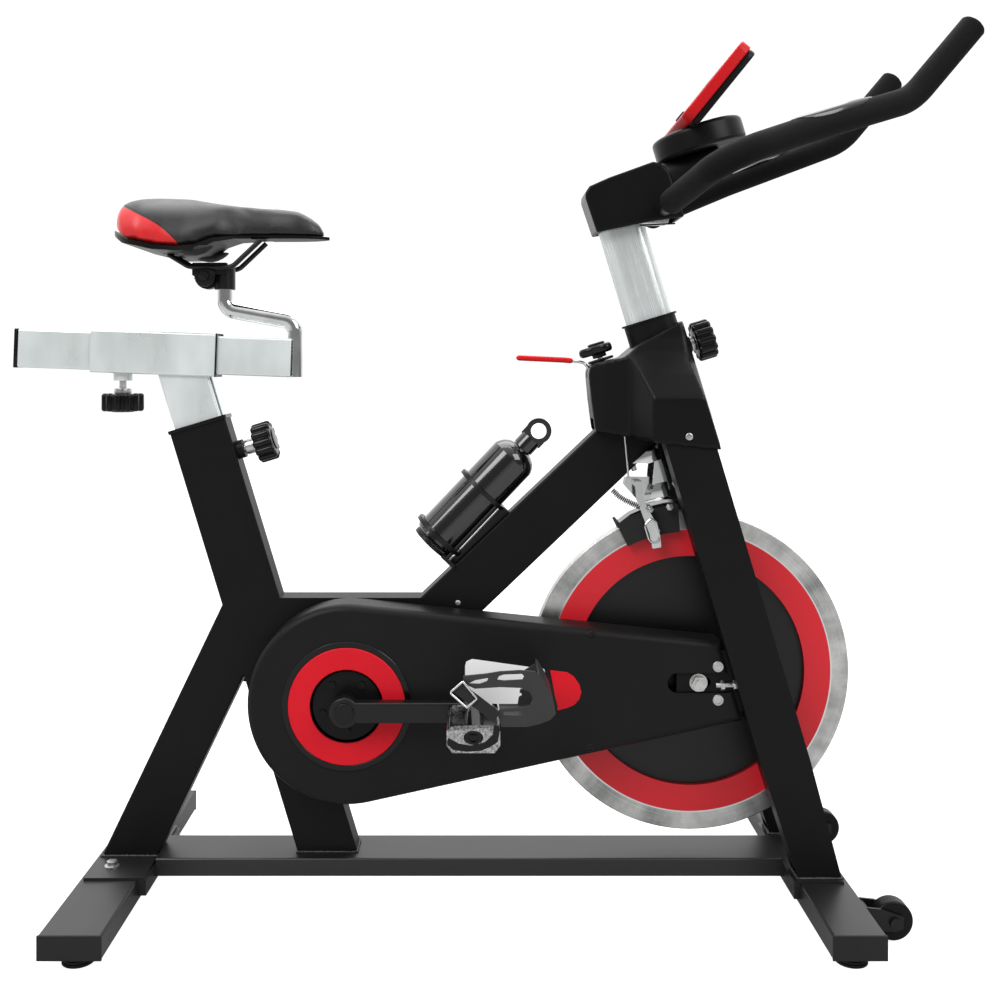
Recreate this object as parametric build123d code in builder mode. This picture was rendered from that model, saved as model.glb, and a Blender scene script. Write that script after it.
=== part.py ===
from build123d import *
import os
from math import cos, radians, sin

# Indoor spin bike. Millimetres, +X forward, +Y to the rider's left, +Z up, floor at Z = 0.
# Near side means the rider's right, -Y, where the chain guard is.

os.makedirs("parts", exist_ok=True)

# ---- driving dimensions ----
LEAN = radians(17.0)  # seat tube and handlebar post lean back by this much
UP = Vector(-sin(LEAN), 0, cos(LEAN))  # up along both posts
AHEAD = Vector(cos(LEAN), 0, sin(LEAN))  # square to them, forward
WALL = 2.0  # steel tube wall
SLIDE_GAP = 0.3  # between a sliding tube and its guide

CRANK = (-177.5, 276.0)  # crank centre, X and Z
HUB = (295.0, 307.0)  # flywheel centre, X and Z
FLYWHEEL_R = 222.0
FLYWHEEL_HALF = 12.0
PULLEY_R = 110.0  # on the crank
SMALL_PULLEY_R = 39.0  # on the flywheel
BELT_Y = (-54.0, -40.0)
CRANK_LENGTH = 170.0
PEDAL_Y = (-205.0, -116.0)

SEAT_TOP = Vector(-391.5, 0, 648.4)  # mouth of the seat tube
HEAD_TOP = Vector(240.5, 0, 796.0)  # mouth of the head tube
SEAT_TUBE = (80.0, 40.0)
SEAT_POST = (66.0, 30.0)
BAR_POST = (66.0, 38.0)
HEAD_TUBE = (74.0, 49.0)
DOWN_DIR = Vector(cos(radians(43.6)), 0, sin(radians(43.6)))
DOWN_POINT = Vector(184.7, 0, 612.8)  # a point on the down tube's centre line
DOWN_TUBE = (73.0, 40.0)

FOOT_H = 17.0
STAB_Z = (17.0, 47.0)
STAB_HALF = 232.0
PLATE_TOP = 50.5
REAR_STAB_X = (-533.0, -455.0)
FRONT_STAB_X = (425.0, 491.0)
BEAM_X = (-443.5, 417.0)
BEAM_Z = (31.0, 56.0)
FOOT_Y = 200.0
PLATE_BOLTS = [(-500.0, -51.0), (-500.0, 51.0), (450.0, -40.0), (450.0, 40.0)]

SLOPE = radians(2.1)  # the saddle slider falls forward by this much
SLIDER_MID = Vector(-453.5, 0, 750.6)
SLIDER_DIR = Vector(cos(SLOPE), 0, -sin(SLOPE))
SLIDER_LENGTH = 379.0
SLIDER = (54.0, 34.0)
SLEEVE = (60.0, 40.0)
STEM_R = 11.0
TILT_PIVOT = (-381.0, 857.5)
KNOB_FOOT = Vector(171, 0, 744)  # where the tension rod enters the shroud

GUARD_Y = (-76.0, -28.0)
GUARD_R = 135.0
GUARD_WALL = 2.5
LEG_Y = (-90.0, -55.0)


def save(built, label):
    """Name a finished piece and write it to its own file."""
    built.part.label = label
    export_step(built.part, f"parts/{label}.step")


def side(y=0.0):
    """Drawing plane seen from the near side: x forward, y up; an extrude goes towards the near side."""
    return Plane.XZ.offset(-y)


def axle_plane(centre):
    """Plane through a cross axle, for profiles turned about it: x is radius, y is the bike's Y."""
    return Plane(origin=(centre[0], 0, centre[1]), x_dir=(1, 0, 0), z_dir=(0, 0, 1))


def axle_line(centre):
    """The cross axle's own line."""
    return Axis((centre[0], 0, centre[1]), (0, 1, 0))


def square_to(origin, direction):
    """Plane square to a run in the bike's middle plane; its y is the bike's Y."""
    run = direction.normalized()
    return Plane(origin=origin, x_dir=(run.Z, 0, -run.X), z_dir=run)


def ring(centre, outer, inner, low, high, mode=Mode.ADD):
    """A turned ring or disc about a cross axle, from Y low to Y high."""
    with BuildSketch(axle_plane(centre)) as profile:
        with Locations(((outer + inner) / 2, (low + high) / 2)):
            Rectangle(outer - inner, high - low)
    revolve(profile.sketch, axis=axle_line(centre), mode=mode)


def slab(points, low, high, radius=0.0, mode=Mode.ADD):
    """A flat piece with a side outline, from Y low to Y high."""
    with BuildSketch(side(high)) as outline:
        with BuildLine():
            Polyline(*points, close=True)
        make_face()
        if radius:
            fillet(outline.vertices(), radius)
    extrude(outline.sketch, amount=high - low, mode=mode)


def block(x, y, z, mode=Mode.ADD):
    """A plain block between two X, two Y and two Z values."""
    with Locations(((x[0] + x[1]) / 2, (y[0] + y[1]) / 2, (z[0] + z[1]) / 2)):
        Box(x[1] - x[0], y[1] - y[0], z[1] - z[0], mode=mode)


def box_bar(origin, direction, length, size, radius=3.0, mode=Mode.ADD):
    """A bar of rectangular section along a run in the middle plane."""
    with BuildSketch(square_to(origin, direction)) as section:
        RectangleRounded(size[0], size[1], radius)
    extrude(section.sketch, amount=length, mode=mode)


def oval_bar(origin, direction, length, size, mode=Mode.ADD):
    """The same with an oval section, round on the front and the back."""
    with BuildSketch(square_to(origin, direction)) as section:
        SlotOverall(size[0], size[1])
    extrude(section.sketch, amount=length, mode=mode)


def rod(origin, direction, length, radius, mode=Mode.ADD):
    """A round rod from a point along any direction."""
    with BuildSketch(Plane(origin=origin, z_dir=direction)) as section:
        Circle(radius)
    extrude(section.sketch, amount=length, mode=mode)


def shrink(size, wall):
    """A section's size inside a wall."""
    return (size[0] - 2 * wall, size[1] - 2 * wall)


def on_post(top, down=0.0, ahead=0.0, y=0.0):
    """A point beside a leaning post, from its mouth: down the post, ahead of it and across."""
    return top - UP * down + AHEAD * ahead + Vector(0, y, 0)


# ---- base ----
with BuildPart() as stabilizers:
    for x in (REAR_STAB_X, FRONT_STAB_X):
        block(x, (-STAB_HALF, STAB_HALF), STAB_Z)
    fillet(stabilizers.part.edges().filter_by(Axis.Y), 3)
    for x in (REAR_STAB_X, FRONT_STAB_X):
        inner_x = (x[0] + WALL, x[1] - WALL)
        block(inner_x, (-STAB_HALF, STAB_HALF), (STAB_Z[0] + WALL, STAB_Z[1] - WALL), Mode.SUBTRACT)
    for x, y in PLATE_BOLTS:
        rod((x, y, 40), (0, 0, 1), 20, 4.3, Mode.SUBTRACT)
save(stabilizers, "stabilizers")

with BuildPart() as stabilizer_end_caps:
    for x in (REAR_STAB_X, FRONT_STAB_X):
        for s in (-1, 1):
            outer = sorted((s * STAB_HALF, s * (STAB_HALF + 3)))
            plug = sorted((s * (STAB_HALF - 12), s * STAB_HALF))
            block(x, outer, STAB_Z)
            block((x[0] + 2.2, x[1] - 2.2), plug, (STAB_Z[0] + 2.2, STAB_Z[1] - 2.2))
save(stabilizer_end_caps, "stabilizer_end_caps")

with BuildPart() as rubber_feet:
    for x in (REAR_STAB_X, FRONT_STAB_X):
        for y in (-FOOT_Y, FOOT_Y):
            with Locations(((x[0] + x[1]) / 2, y, 0)):
                Cylinder(20, FOOT_H, align=(Align.CENTER, Align.CENTER, Align.MIN))
                for z in (4.0, 8.0, 12.0):
                    with Locations((0, 0, z)):
                        Cylinder(21, 1.6, mode=Mode.SUBTRACT)
                        Cylinder(18.4, 1.6)
save(rubber_feet, "rubber_feet")

with BuildPart() as stabilizer_plates:
    block((-527, -447), (-87, 87), (STAB_Z[1], PLATE_TOP))
    block((-455, BEAM_X[0]), (-87, 87), (27, STAB_Z[1]))
    block((417, 483), (-97, 97), (STAB_Z[1], PLATE_TOP))
    block((417, 425), (-97, 97), (27, STAB_Z[1]))
    for x, y in PLATE_BOLTS:
        rod((x, y, 40), (0, 0, 1), 20, 4.3, Mode.SUBTRACT)
save(stabilizer_plates, "stabilizer_plates")

with BuildPart() as main_beam:
    block(BEAM_X, (-40, 40), BEAM_Z)
    fillet(main_beam.part.edges().filter_by(Axis.X), 3)
    block(BEAM_X, (-40 + WALL, 40 - WALL), (BEAM_Z[0] + WALL, BEAM_Z[1] - WALL), Mode.SUBTRACT)
save(main_beam, "main_beam")

# ---- frame tubes ----
SEAT_TUBE_LENGTH = (SEAT_TOP.Z - BEAM_Z[1]) / cos(LEAN)
PIN_DOWN = 48.0  # how far below each tube's mouth its pull pin sits
SEAT_BUSH = 70.0
with BuildPart() as seat_tube:
    box_bar(SEAT_TOP, -UP, SEAT_TUBE_LENGTH + 20, SEAT_TUBE)
    rod(on_post(SEAT_TOP, PIN_DOWN, 39), AHEAD, 11, 13)
    box_bar(SEAT_TOP, -UP, SEAT_TUBE_LENGTH + 20, shrink(SEAT_TUBE, WALL), 1.0, Mode.SUBTRACT)
    rod(on_post(SEAT_TOP, PIN_DOWN, 30), AHEAD, 25, 7.0, Mode.SUBTRACT)
    split(bisect_by=Plane.XY.offset(BEAM_Z[1]), keep=Keep.TOP)
save(seat_tube, "seat_tube")

HEAD_LENGTH = 165.0
with BuildPart() as head_tube:
    oval_bar(HEAD_TOP, -UP, HEAD_LENGTH, HEAD_TUBE)
    rod(on_post(HEAD_TOP, PIN_DOWN, 36), AHEAD, 8, 13)
    oval_bar(HEAD_TOP, -UP, HEAD_LENGTH, shrink(HEAD_TUBE, 2.5), Mode.SUBTRACT)
    rod(on_post(HEAD_TOP, PIN_DOWN, 30), AHEAD, 25, 7.0, Mode.SUBTRACT)
save(head_tube, "head_tube")

with BuildPart() as post_bushes:
    box_bar(on_post(SEAT_TOP, -5), -UP, 5, (84, 44), 4)
    box_bar(SEAT_TOP, -UP, SEAT_BUSH, shrink(SEAT_TUBE, WALL), 1.0)
    box_bar(on_post(SEAT_TOP, -6), -UP, SEAT_BUSH + 8, shrink(SEAT_POST, -SLIDE_GAP), 3.0, Mode.SUBTRACT)
    rod(on_post(SEAT_TOP, PIN_DOWN, 30), AHEAD, 25, 7.0, Mode.SUBTRACT)
    oval_bar(on_post(HEAD_TOP, -3), -UP, 3, (80, 52))
    oval_bar(HEAD_TOP, -UP, SEAT_BUSH, shrink(HEAD_TUBE, 2.5))
    oval_bar(on_post(HEAD_TOP, -4), -UP, SEAT_BUSH + 8, shrink(BAR_POST, -SLIDE_GAP), Mode.SUBTRACT)
    rod(on_post(HEAD_TOP, PIN_DOWN, 30), AHEAD, 25, 7.0, Mode.SUBTRACT)
save(post_bushes, "post_bushes")

REAR_LEG_DIR = Vector(169, 0, 353).normalized()
REAR_LEG_START = Vector(-486, 0, 50) - REAR_LEG_DIR * 20
REAR_LEG = (70.0, 40.0)
with BuildPart() as rear_leg:
    box_bar(REAR_LEG_START, REAR_LEG_DIR, 470, REAR_LEG)
    box_bar(REAR_LEG_START, REAR_LEG_DIR, 470, shrink(REAR_LEG, WALL), 1, Mode.SUBTRACT)
    split(bisect_by=Plane.XY.offset(PLATE_TOP), keep=Keep.TOP)
    box_bar(SEAT_TOP - UP * 620, UP, 700, SEAT_TUBE, 3, Mode.SUBTRACT)
    split(bisect_by=Plane(origin=SEAT_TOP, z_dir=-AHEAD), keep=Keep.TOP)
save(rear_leg, "rear_leg")

SHELL_R = 26.0
with BuildPart() as down_tube:
    box_bar(DOWN_POINT - DOWN_DIR * 500, DOWN_DIR, 640, DOWN_TUBE)
    box_bar(DOWN_POINT - DOWN_DIR * 500, DOWN_DIR, 640, shrink(DOWN_TUBE, WALL), 1, Mode.SUBTRACT)
    oval_bar(HEAD_TOP, -UP, 400, HEAD_TUBE, Mode.SUBTRACT)
    split(bisect_by=Plane(origin=HEAD_TOP, z_dir=-AHEAD), keep=Keep.TOP)
    split(bisect_by=Plane(origin=(CRANK[0], 0, CRANK[1]), z_dir=DOWN_DIR), keep=Keep.TOP)
    ring(CRANK, SHELL_R, 0, -34, 34, Mode.SUBTRACT)
    rod(KNOB_FOOT + UP * 100, -UP, 330, 5.0, Mode.SUBTRACT)
save(down_tube, "down_tube")

with BuildPart() as top_tube:
    block((-345, 60), (-20, 20), (370, 410))
    block((-345, 60), (-18, 18), (372, 408), Mode.SUBTRACT)
    box_bar(SEAT_TOP - UP * 620, UP, 700, SEAT_TUBE, 3, Mode.SUBTRACT)
    split(bisect_by=Plane(origin=SEAT_TOP, z_dir=AHEAD), keep=Keep.TOP)
    box_bar(DOWN_POINT - DOWN_DIR * 500, DOWN_DIR, 640, DOWN_TUBE, 3, Mode.SUBTRACT)
    split(bisect_by=Plane(origin=DOWN_POINT, z_dir=(-DOWN_DIR.Z, 0, DOWN_DIR.X)), keep=Keep.TOP)
save(top_tube, "top_tube")

with BuildPart() as bottom_bracket:
    ring(CRANK, SHELL_R, 0, -34, 34)
    block((-262, CRANK[0]), (-16, 16), (CRANK[1] - 20, CRANK[1] + 20))
    ring(CRANK, 21, 0, -34, 34, Mode.SUBTRACT)
    box_bar(SEAT_TOP - UP * 620, UP, 700, SEAT_TUBE, 3, Mode.SUBTRACT)
    split(bisect_by=Plane(origin=SEAT_TOP + AHEAD * 40, z_dir=AHEAD), keep=Keep.TOP)
save(bottom_bracket, "bottom_bracket")

# ---- fork: two legs, each with a crown stub and the plate that carries the flywheel axle ----
LEG_OUTLINE = [(424.5, PLATE_TOP), (373.5, 207.4), (240.0, 655.0), (300.5, 678.0), (440.8, 207.4),
               (482.5, PLATE_TOP)]
LEG_HOLLOW = [(427.5, 40.0), (375.8, 207.6), (243.0, 653.5), (299.0, 674.8), (438.5, 207.0), (482.5, 40.0)]
AXLE_PLATE = [(266, 292), (266, 324), (298, 350), (334, 350), (357, 268), (298, 264)]
CROWN = (274.0, 655.0)
COVER_SCREWS = [(321.0, 329.0), (321.0, 284.0)]


def mirrored(low, high, s):
    """A Y span on the near side, or its mirror on the far side when s is 1."""
    return (low, high) if s < 0 else (-high, -low)


with BuildPart() as fork_legs:
    for s in (-1, 1):
        slab(LEG_OUTLINE, *mirrored(*LEG_Y, s))
        slab(LEG_HOLLOW, *mirrored(LEG_Y[0] + WALL, LEG_Y[1] - WALL, s), mode=Mode.SUBTRACT)
        with BuildSketch(side(-24.5 if s < 0 else 56)) as stub:
            with Locations(CROWN):
                Rectangle(36, 36, rotation=-17)
        extrude(stub.sketch, amount=31.5)
        slab(AXLE_PLATE, *mirrored(-72, -67, s), radius=3)
    with BuildSketch(side(80)) as axle_slot:
        with Locations((HUB[0] + 4, HUB[1])):
            SlotOverall(26, 12.4)
    extrude(axle_slot.sketch, amount=160, mode=Mode.SUBTRACT)
save(fork_legs, "fork_legs")

# ---- fasteners of the frame ----
with BuildPart() as frame_bolts:
    for x, y in PLATE_BOLTS:
        rod((x, y, 38), (0, 0, 1), PLATE_TOP - 38, 4.0)
        rod((x, y, PLATE_TOP), (0, 0, 1), 1.6, 10.0)
        with BuildSketch(Plane.XY.offset(PLATE_TOP + 1.6)) as head:
            with Locations((x, y)):
                RegularPolygon(7.5, 6)
        extrude(head.sketch, amount=5.5)
    for s in (-1, 1):
        for point in COVER_SCREWS:
            with BuildSketch(side(-72 if s < 0 else 76)) as screw:
                with Locations(point):
                    Circle(4.5)
            extrude(screw.sketch, amount=4)
save(frame_bolts, "frame_bolts")

# ---- brake bracket under the head tube ----
BRAKE_PIVOT = (276.0, 570.0)
with BuildPart() as brake_bracket:
    for s in (-1, 1):
        slab([(248, 645), (240, 566), (288, 558), (298, 645)], *mirrored(-30, -25.5, s), radius=4)
    block((246, 262), (-25.5, 25.5), (598, 614))
    with BuildSketch(side(40)) as crown_gap:
        with Locations(CROWN):
            Rectangle(36, 36, rotation=-17)
    extrude(crown_gap.sketch, amount=80, mode=Mode.SUBTRACT)
    ring(BRAKE_PIVOT, 4.1, 0, -40, 40, Mode.SUBTRACT)
    oval_bar(HEAD_TOP, -UP, 400, HEAD_TUBE, Mode.SUBTRACT)
save(brake_bracket, "brake_bracket")

# ---- bearings and axle ----
with BuildPart() as bearings:
    for low in (-34.0, 24.0):
        ring(CRANK, 21, 10.05, low, low + 10)
    for low in (-14.0, 4.0):
        ring(HUB, 16, 6, low, low + 10)
save(bearings, "bearings")

with BuildPart() as flywheel_axle:
    ring(HUB, 6, 0, -84, 84)
    for s in (-1, 1):
        ring(HUB, 12, 6, *mirrored(-74, -72, s))
        with BuildSketch(side(-74 if s < 0 else 82)) as nut:
            with Locations(HUB):
                RegularPolygon(10.5, 6)
                Circle(6, mode=Mode.SUBTRACT)
        extrude(nut.sketch, amount=8)
        ring(HUB, 9, 6, *mirrored(-67, -58.5, s))
save(flywheel_axle, "flywheel_axle")

# ---- flywheel ----
with BuildPart() as flywheel:
    ring(HUB, FLYWHEEL_R, 160, -FLYWHEEL_HALF, FLYWHEEL_HALF)
    ring(HUB, 160, 30, -6, 6)
    ring(HUB, 30, 16.05, -20, 20)
    rim_edges = flywheel.part.edges().filter_by(GeomType.CIRCLE).group_by(SortBy.LENGTH)[-1]
    fillet(rim_edges, 1.5)
save(flywheel, "flywheel")

with BuildPart() as flywheel_pulley:
    ring(HUB, SMALL_PULLEY_R, 26, *BELT_Y)
    ring(HUB, 26, 8, -50, -44)
    ring(HUB, 14, 8, -44, -20)
    ring(HUB, 28, 14, -24, -20)
save(flywheel_pulley, "flywheel_pulley")


# ---- belt ----
def two_pulleys(extra):
    """Outline of a belt round both pulleys, stood off by extra."""
    with BuildSketch(side(BELT_Y[1] - 0.5)) as loop:
        with Locations(CRANK):
            Circle(PULLEY_R + extra)
        with Locations(HUB):
            Circle(SMALL_PULLEY_R + extra)
        make_hull()
    return loop.sketch


with BuildPart() as drive_belt:
    extrude(two_pulleys(3.2), amount=13)
    extrude(two_pulleys(0.2), amount=13, mode=Mode.SUBTRACT)
save(drive_belt, "drive_belt")

# ---- cranks ----
with BuildPart() as crank_axle:
    ring(CRANK, 10, 0, -110, 110)
save(crank_axle, "crank_axle")

with BuildPart() as crank_pulley:
    ring(CRANK, PULLEY_R, 98, *BELT_Y)
    ring(CRANK, 98, 46, -49, -45)
    ring(CRANK, 46, 10, -73, -45)
    ring(CRANK, 18, 10, -80, -73)
    with BuildSketch(side(-73)) as hub_screws:
        with Locations(CRANK):
            with PolarLocations(34, 5, start_angle=54):
                Circle(5)
    extrude(hub_screws.sketch, amount=3)
save(crank_pulley, "crank_pulley")

with BuildPart() as crank_arms:
    for s in (-1, 1):
        low, high = mirrored(-108, -92, s)
        end = CRANK[0] - s * CRANK_LENGTH
        with BuildSketch(side(high)) as arm:
            with Locations(((CRANK[0] + end) / 2, CRANK[1])):
                SlotCenterToCenter(CRANK_LENGTH, 27)
            with Locations(CRANK):
                Circle(20)
        extrude(arm.sketch, amount=high - low)
        fillet(crank_arms.part.faces().filter_by(Axis.Y).sort_by(Axis.Y)[-1 if s > 0 else 0].edges(), 3)
        ring(CRANK, 16, 10, *mirrored(-92, -81, s))
        ring((end, CRANK[1]), 6, 0, *mirrored(-200, -108, s))
    ring(CRANK, 10, 0, -120, 120, Mode.SUBTRACT)
save(crank_arms, "crank_arms")


# ---- pedals and toe cages ----
def pedal(x, s):
    """Platform pedal on its spindle, in one part."""
    low, high = mirrored(*PEDAL_Y, s)
    with BuildPart() as body:
        slab([(x - 33, 266), (x - 26, 257), (x + 26, 257), (x + 33, 266), (x + 33, 284), (x + 26, 290),
              (x - 26, 290), (x - 33, 284)], low, high)
        for off in (-19.0, 19.0):
            for y in ((low + high) / 2 - 22, (low + high) / 2 + 22):
                block((x + off - 8, x + off + 8), (y - 16, y + 16), (250, 300), Mode.SUBTRACT)
        ring((x, CRANK[1]), 6.1, 0, -210, 210, Mode.SUBTRACT)
    return body


CAGE_WALL = 4.0


def toe_cage(x, s):
    """Open-backed toe cage and its strap, standing on the pedal's front half."""
    low, high = mirrored(-203.0, -122.0, s)
    outer = [(x + 33.5, 259), (x + 70, 262), (x + 98, 284), (x + 103, 308), (x + 88, 336), (x + 48, 351),
             (x - 12, 354), (x - 16, 330), (x + 8, 291), (x + 33.5, 291)]
    inner = [(x + 33.5, 263.5), (x + 68, 266), (x + 94, 286), (x + 98.5, 308), (x + 85, 332), (x + 47, 346.5),
             (x - 40, 350), (x - 40, 290.3), (x + 33.5, 290.3)]
    with BuildPart() as cage:
        slab(outer, low, high)
        slab(inner, low + CAGE_WALL, high - CAGE_WALL, mode=Mode.SUBTRACT)
        for y in (low, high):
            slab([(x + 22, 300), (x + 70, 298), (x + 82, 312), (x + 66, 330), (x + 22, 334)], y - 9, y + 9, 5,
                 mode=Mode.SUBTRACT)
        block((x + 30, x + 78), ((low + high) / 2 - 18, (low + high) / 2 + 18), (340, 360), Mode.SUBTRACT)
    return cage


for name, s in (("right", -1), ("left", 1)):
    pedal_x = CRANK[0] - s * CRANK_LENGTH
    save(pedal(pedal_x, s), f"pedal_{name}")
    save(toe_cage(pedal_x, s), f"toe_cage_{name}")

# ---- chain guard ----
with BuildSketch(side(GUARD_Y[1])) as guard_face:
    with BuildLine():
        over = Line((-162.4, 411.3 - 1), (326.0, 361.0))
        end = Line(over @ 1, (358.0, 255.5))
        under = Line(end @ 1, (-148.8, 144.8 - 0.7))
        ThreePointArc(under @ 1, (CRANK[0] - GUARD_R, CRANK[1]), over @ 0)
    make_face()

with BuildPart() as guard_outer_cover:
    extrude(guard_face.sketch, amount=GUARD_Y[1] - GUARD_Y[0])
    fillet(guard_outer_cover.part.faces().sort_by(Axis.Y)[0].edges(), 11)
    with BuildSketch(side(GUARD_Y[1])) as hollow:
        add(offset(guard_face.sketch, amount=-GUARD_WALL, mode=Mode.PRIVATE))
    extrude(hollow.sketch, amount=GUARD_Y[1] - GUARD_Y[0] - 12, mode=Mode.SUBTRACT)
    with BuildSketch(side(GUARD_Y[0] + 13)) as deep_hollow:
        add(offset(guard_face.sketch, amount=-GUARD_WALL - 7, mode=Mode.PRIVATE))
    extrude(deep_hollow.sketch, amount=13 - GUARD_WALL, mode=Mode.SUBTRACT)
    ring(CRANK, 49, 0, -90, -60, Mode.SUBTRACT)
    with BuildSketch(side(-60)) as guard_slot:
        with Locations((HUB[0] + 4, HUB[1])):
            SlotOverall(92, 27)
        with Locations(*COVER_SCREWS):
            Circle(5)
    extrude(guard_slot.sketch, amount=30, mode=Mode.SUBTRACT)
    block((310, 380), (-73.2, -66), (255, 358), Mode.SUBTRACT)
save(guard_outer_cover, "guard_outer_cover")

with BuildPart() as guard_inner_cover:
    with BuildSketch(side(GUARD_Y[1] + 2.5)) as back:
        add(guard_face.sketch.moved(Location((0, 2.5, 0))))
        with Locations(CRANK):
            Circle(28, mode=Mode.SUBTRACT)
        with Locations(HUB):
            Circle(33, mode=Mode.SUBTRACT)
    extrude(back.sketch, amount=2.5)
save(guard_inner_cover, "guard_inner_cover")

with BuildPart() as guard_trim_ring:
    ring(CRANK, 78.5, 49, GUARD_Y[0] - 3, GUARD_Y[0])
    ring(CRANK, 87, 79, GUARD_Y[0] - 2, GUARD_Y[0])
save(guard_trim_ring, "guard_trim_ring")

# ---- head shroud: two halves, wide over the legs and narrow at the collar ----
SHROUD_SIDE = [(161.5, 641), (152, 724), (160, 736), (200, 745), (222, 764), (285, 796), (340, 700), (340, 621),
               (322, 622), (245, 630)]
SHROUD_HOLLOW = [(166.5, 625), (156, 722), (162.5, 732.5), (201, 741.5), (224, 760.5), (281.5, 791), (340, 694),
                 (340, 605), (245, 610)]
SHROUD_NOSE = [(42, 20), (38, 32), (28, 46), (26.5, 100), (-300, 100)]  # ahead of the tube's line, and across
SHROUD_PLAN = [(140, 12), (152, 27), (172, 38), (205, 46), (232, 94), (318.5, 94), (340, 30)]
SHROUD_TAPER = [(94, 600), (94, 690), (44, 750), (36, 800)]


def both_ways(points):
    """A half outline and its mirror image, as one loop."""
    return points + [(-y, z) for y, z in reversed(points)]


def shroud_form(outline, inset):
    """The solid form inside a side outline, with plan and front outlines drawn in by an inset."""
    plan_loop = [(x, y - inset) for x, y in SHROUD_PLAN] + [(x, inset - y) for x, y in reversed(SHROUD_PLAN)]
    with BuildPart() as form:
        slab(outline, -100, 100)
        with BuildSketch(Plane.XY.offset(500)) as plan:
            Polygon(*plan_loop, align=None)
        extrude(plan.sketch, amount=400, mode=Mode.INTERSECT)
        with BuildSketch(Plane.YZ.offset(100)) as front:
            Polygon(*both_ways([(y - inset, z) for y, z in SHROUD_TAPER]), align=None)
        extrude(front.sketch, amount=300, mode=Mode.INTERSECT)
        nose_loop = [(a - inset, y - inset) for a, y in SHROUD_NOSE]
        with BuildSketch(square_to(HEAD_TOP - UP * 260, UP)) as nose:
            Polygon(*nose_loop, *[(a, -y) for a, y in reversed(nose_loop)], align=None)
        extrude(nose.sketch, amount=360, mode=Mode.INTERSECT)
    return form.part


def shroud_half(s):
    """One moulded half of the shroud, with its openings."""
    with BuildPart() as half:
        add(shroud_form(SHROUD_SIDE, 0.0))
        add(shroud_form(SHROUD_HOLLOW, 3.0), mode=Mode.SUBTRACT)
        block((100, 400), (0, 100) if s < 0 else (-100, 0), (500, 900), Mode.SUBTRACT)
        oval_bar(on_post(HEAD_TOP, -30), -UP, 120, (HEAD_TUBE[0] + 1, HEAD_TUBE[1] + 1), Mode.SUBTRACT)
        rod(on_post(HEAD_TOP, PIN_DOWN, 20), AHEAD, 60, 15, Mode.SUBTRACT)
        box_bar(DOWN_POINT - DOWN_DIR * 100, DOWN_DIR, 130, shrink(DOWN_TUBE, -0.5), 3, Mode.SUBTRACT)
        rod(KNOB_FOOT + UP * 20, -UP, 60, 7, Mode.SUBTRACT)
        block((145, 172), (-6, 6), (712, 752), Mode.SUBTRACT)
    return half


save(shroud_half(-1), "head_shroud_right")
save(shroud_half(1), "head_shroud_left")

# ---- seat post, slider, saddle ----
SLEEVE_LENGTH = 174.0
SLIDER_UP = Vector(sin(SLOPE), 0, cos(SLOPE))
SEAT_POST_DOWN = 200.0  # length of post inside the tube
with BuildPart() as slider_sleeve:
    box_bar(SLIDER_MID - SLIDER_DIR * SLEEVE_LENGTH / 2, SLIDER_DIR, SLEEVE_LENGTH, SLEEVE, 3)
    box_bar(SLIDER_MID - SLIDER_DIR * SLEEVE_LENGTH / 2, SLIDER_DIR, SLEEVE_LENGTH, shrink(SLIDER, -SLIDE_GAP), 3,
            Mode.SUBTRACT)
    rod((-501, 0, 723), (0, 0, -1), 11, 13)
    rod((-501, 0, 727), (0, 0, -1), 40, 5.2, Mode.SUBTRACT)
save(slider_sleeve, "slider_sleeve")

with BuildPart() as seat_post:
    post_foot = on_post(SEAT_TOP, SEAT_POST_DOWN)
    box_bar(post_foot, UP, SEAT_POST_DOWN + 110, SEAT_POST)
    box_bar(post_foot, UP, SEAT_POST_DOWN + 110, shrink(SEAT_POST, WALL), 1, Mode.SUBTRACT)
    split(bisect_by=Plane(origin=SLIDER_MID - SLIDER_UP * 30, z_dir=-SLIDER_UP), keep=Keep.TOP)
    with BuildSketch(Plane(origin=on_post(SEAT_TOP, 50, 20), x_dir=UP, z_dir=AHEAD)) as post_slot:
        SlotOverall(284, 12)
    extrude(post_slot.sketch, amount=30, mode=Mode.SUBTRACT)
save(seat_post, "seat_post")

SLIDER_FRONT = SLIDER_MID + SLIDER_DIR * SLIDER_LENGTH / 2
STEM_X = -258.7
with BuildPart() as saddle_slider:
    box_bar(SLIDER_MID - SLIDER_DIR * SLIDER_LENGTH / 2, SLIDER_DIR, SLIDER_LENGTH + 2, SLIDER, 3)
    box_bar(SLIDER_MID - SLIDER_DIR * SLIDER_LENGTH / 2, SLIDER_DIR, SLIDER_LENGTH + 2, shrink(SLIDER, WALL), 1,
            Mode.SUBTRACT)
    rod((STEM_X, 0, 650), (0, 0, 1), 200, STEM_R, Mode.SUBTRACT)
    box_bar(SLIDER_MID - SLIDER_DIR * (SLIDER_LENGTH / 2 + 4), SLIDER_DIR, 4, SLIDER, 3)
save(saddle_slider, "saddle_slider")

STEM_PATH = [(STEM_X, 717), (STEM_X, 794), (-357.3, 812), (-357.3, 850)]
with BuildPart() as saddle_stem:
    with BuildLine(Plane.XZ) as stem_line:
        FilletPolyline(*STEM_PATH, radius=17)
    with BuildSketch(Plane(origin=(STEM_X, 0, 717), z_dir=(0, 0, 1))) as stem_section:
        Circle(STEM_R)
    sweep(stem_section.sketch, path=stem_line.line)
save(saddle_stem, "saddle_stem")

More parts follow.
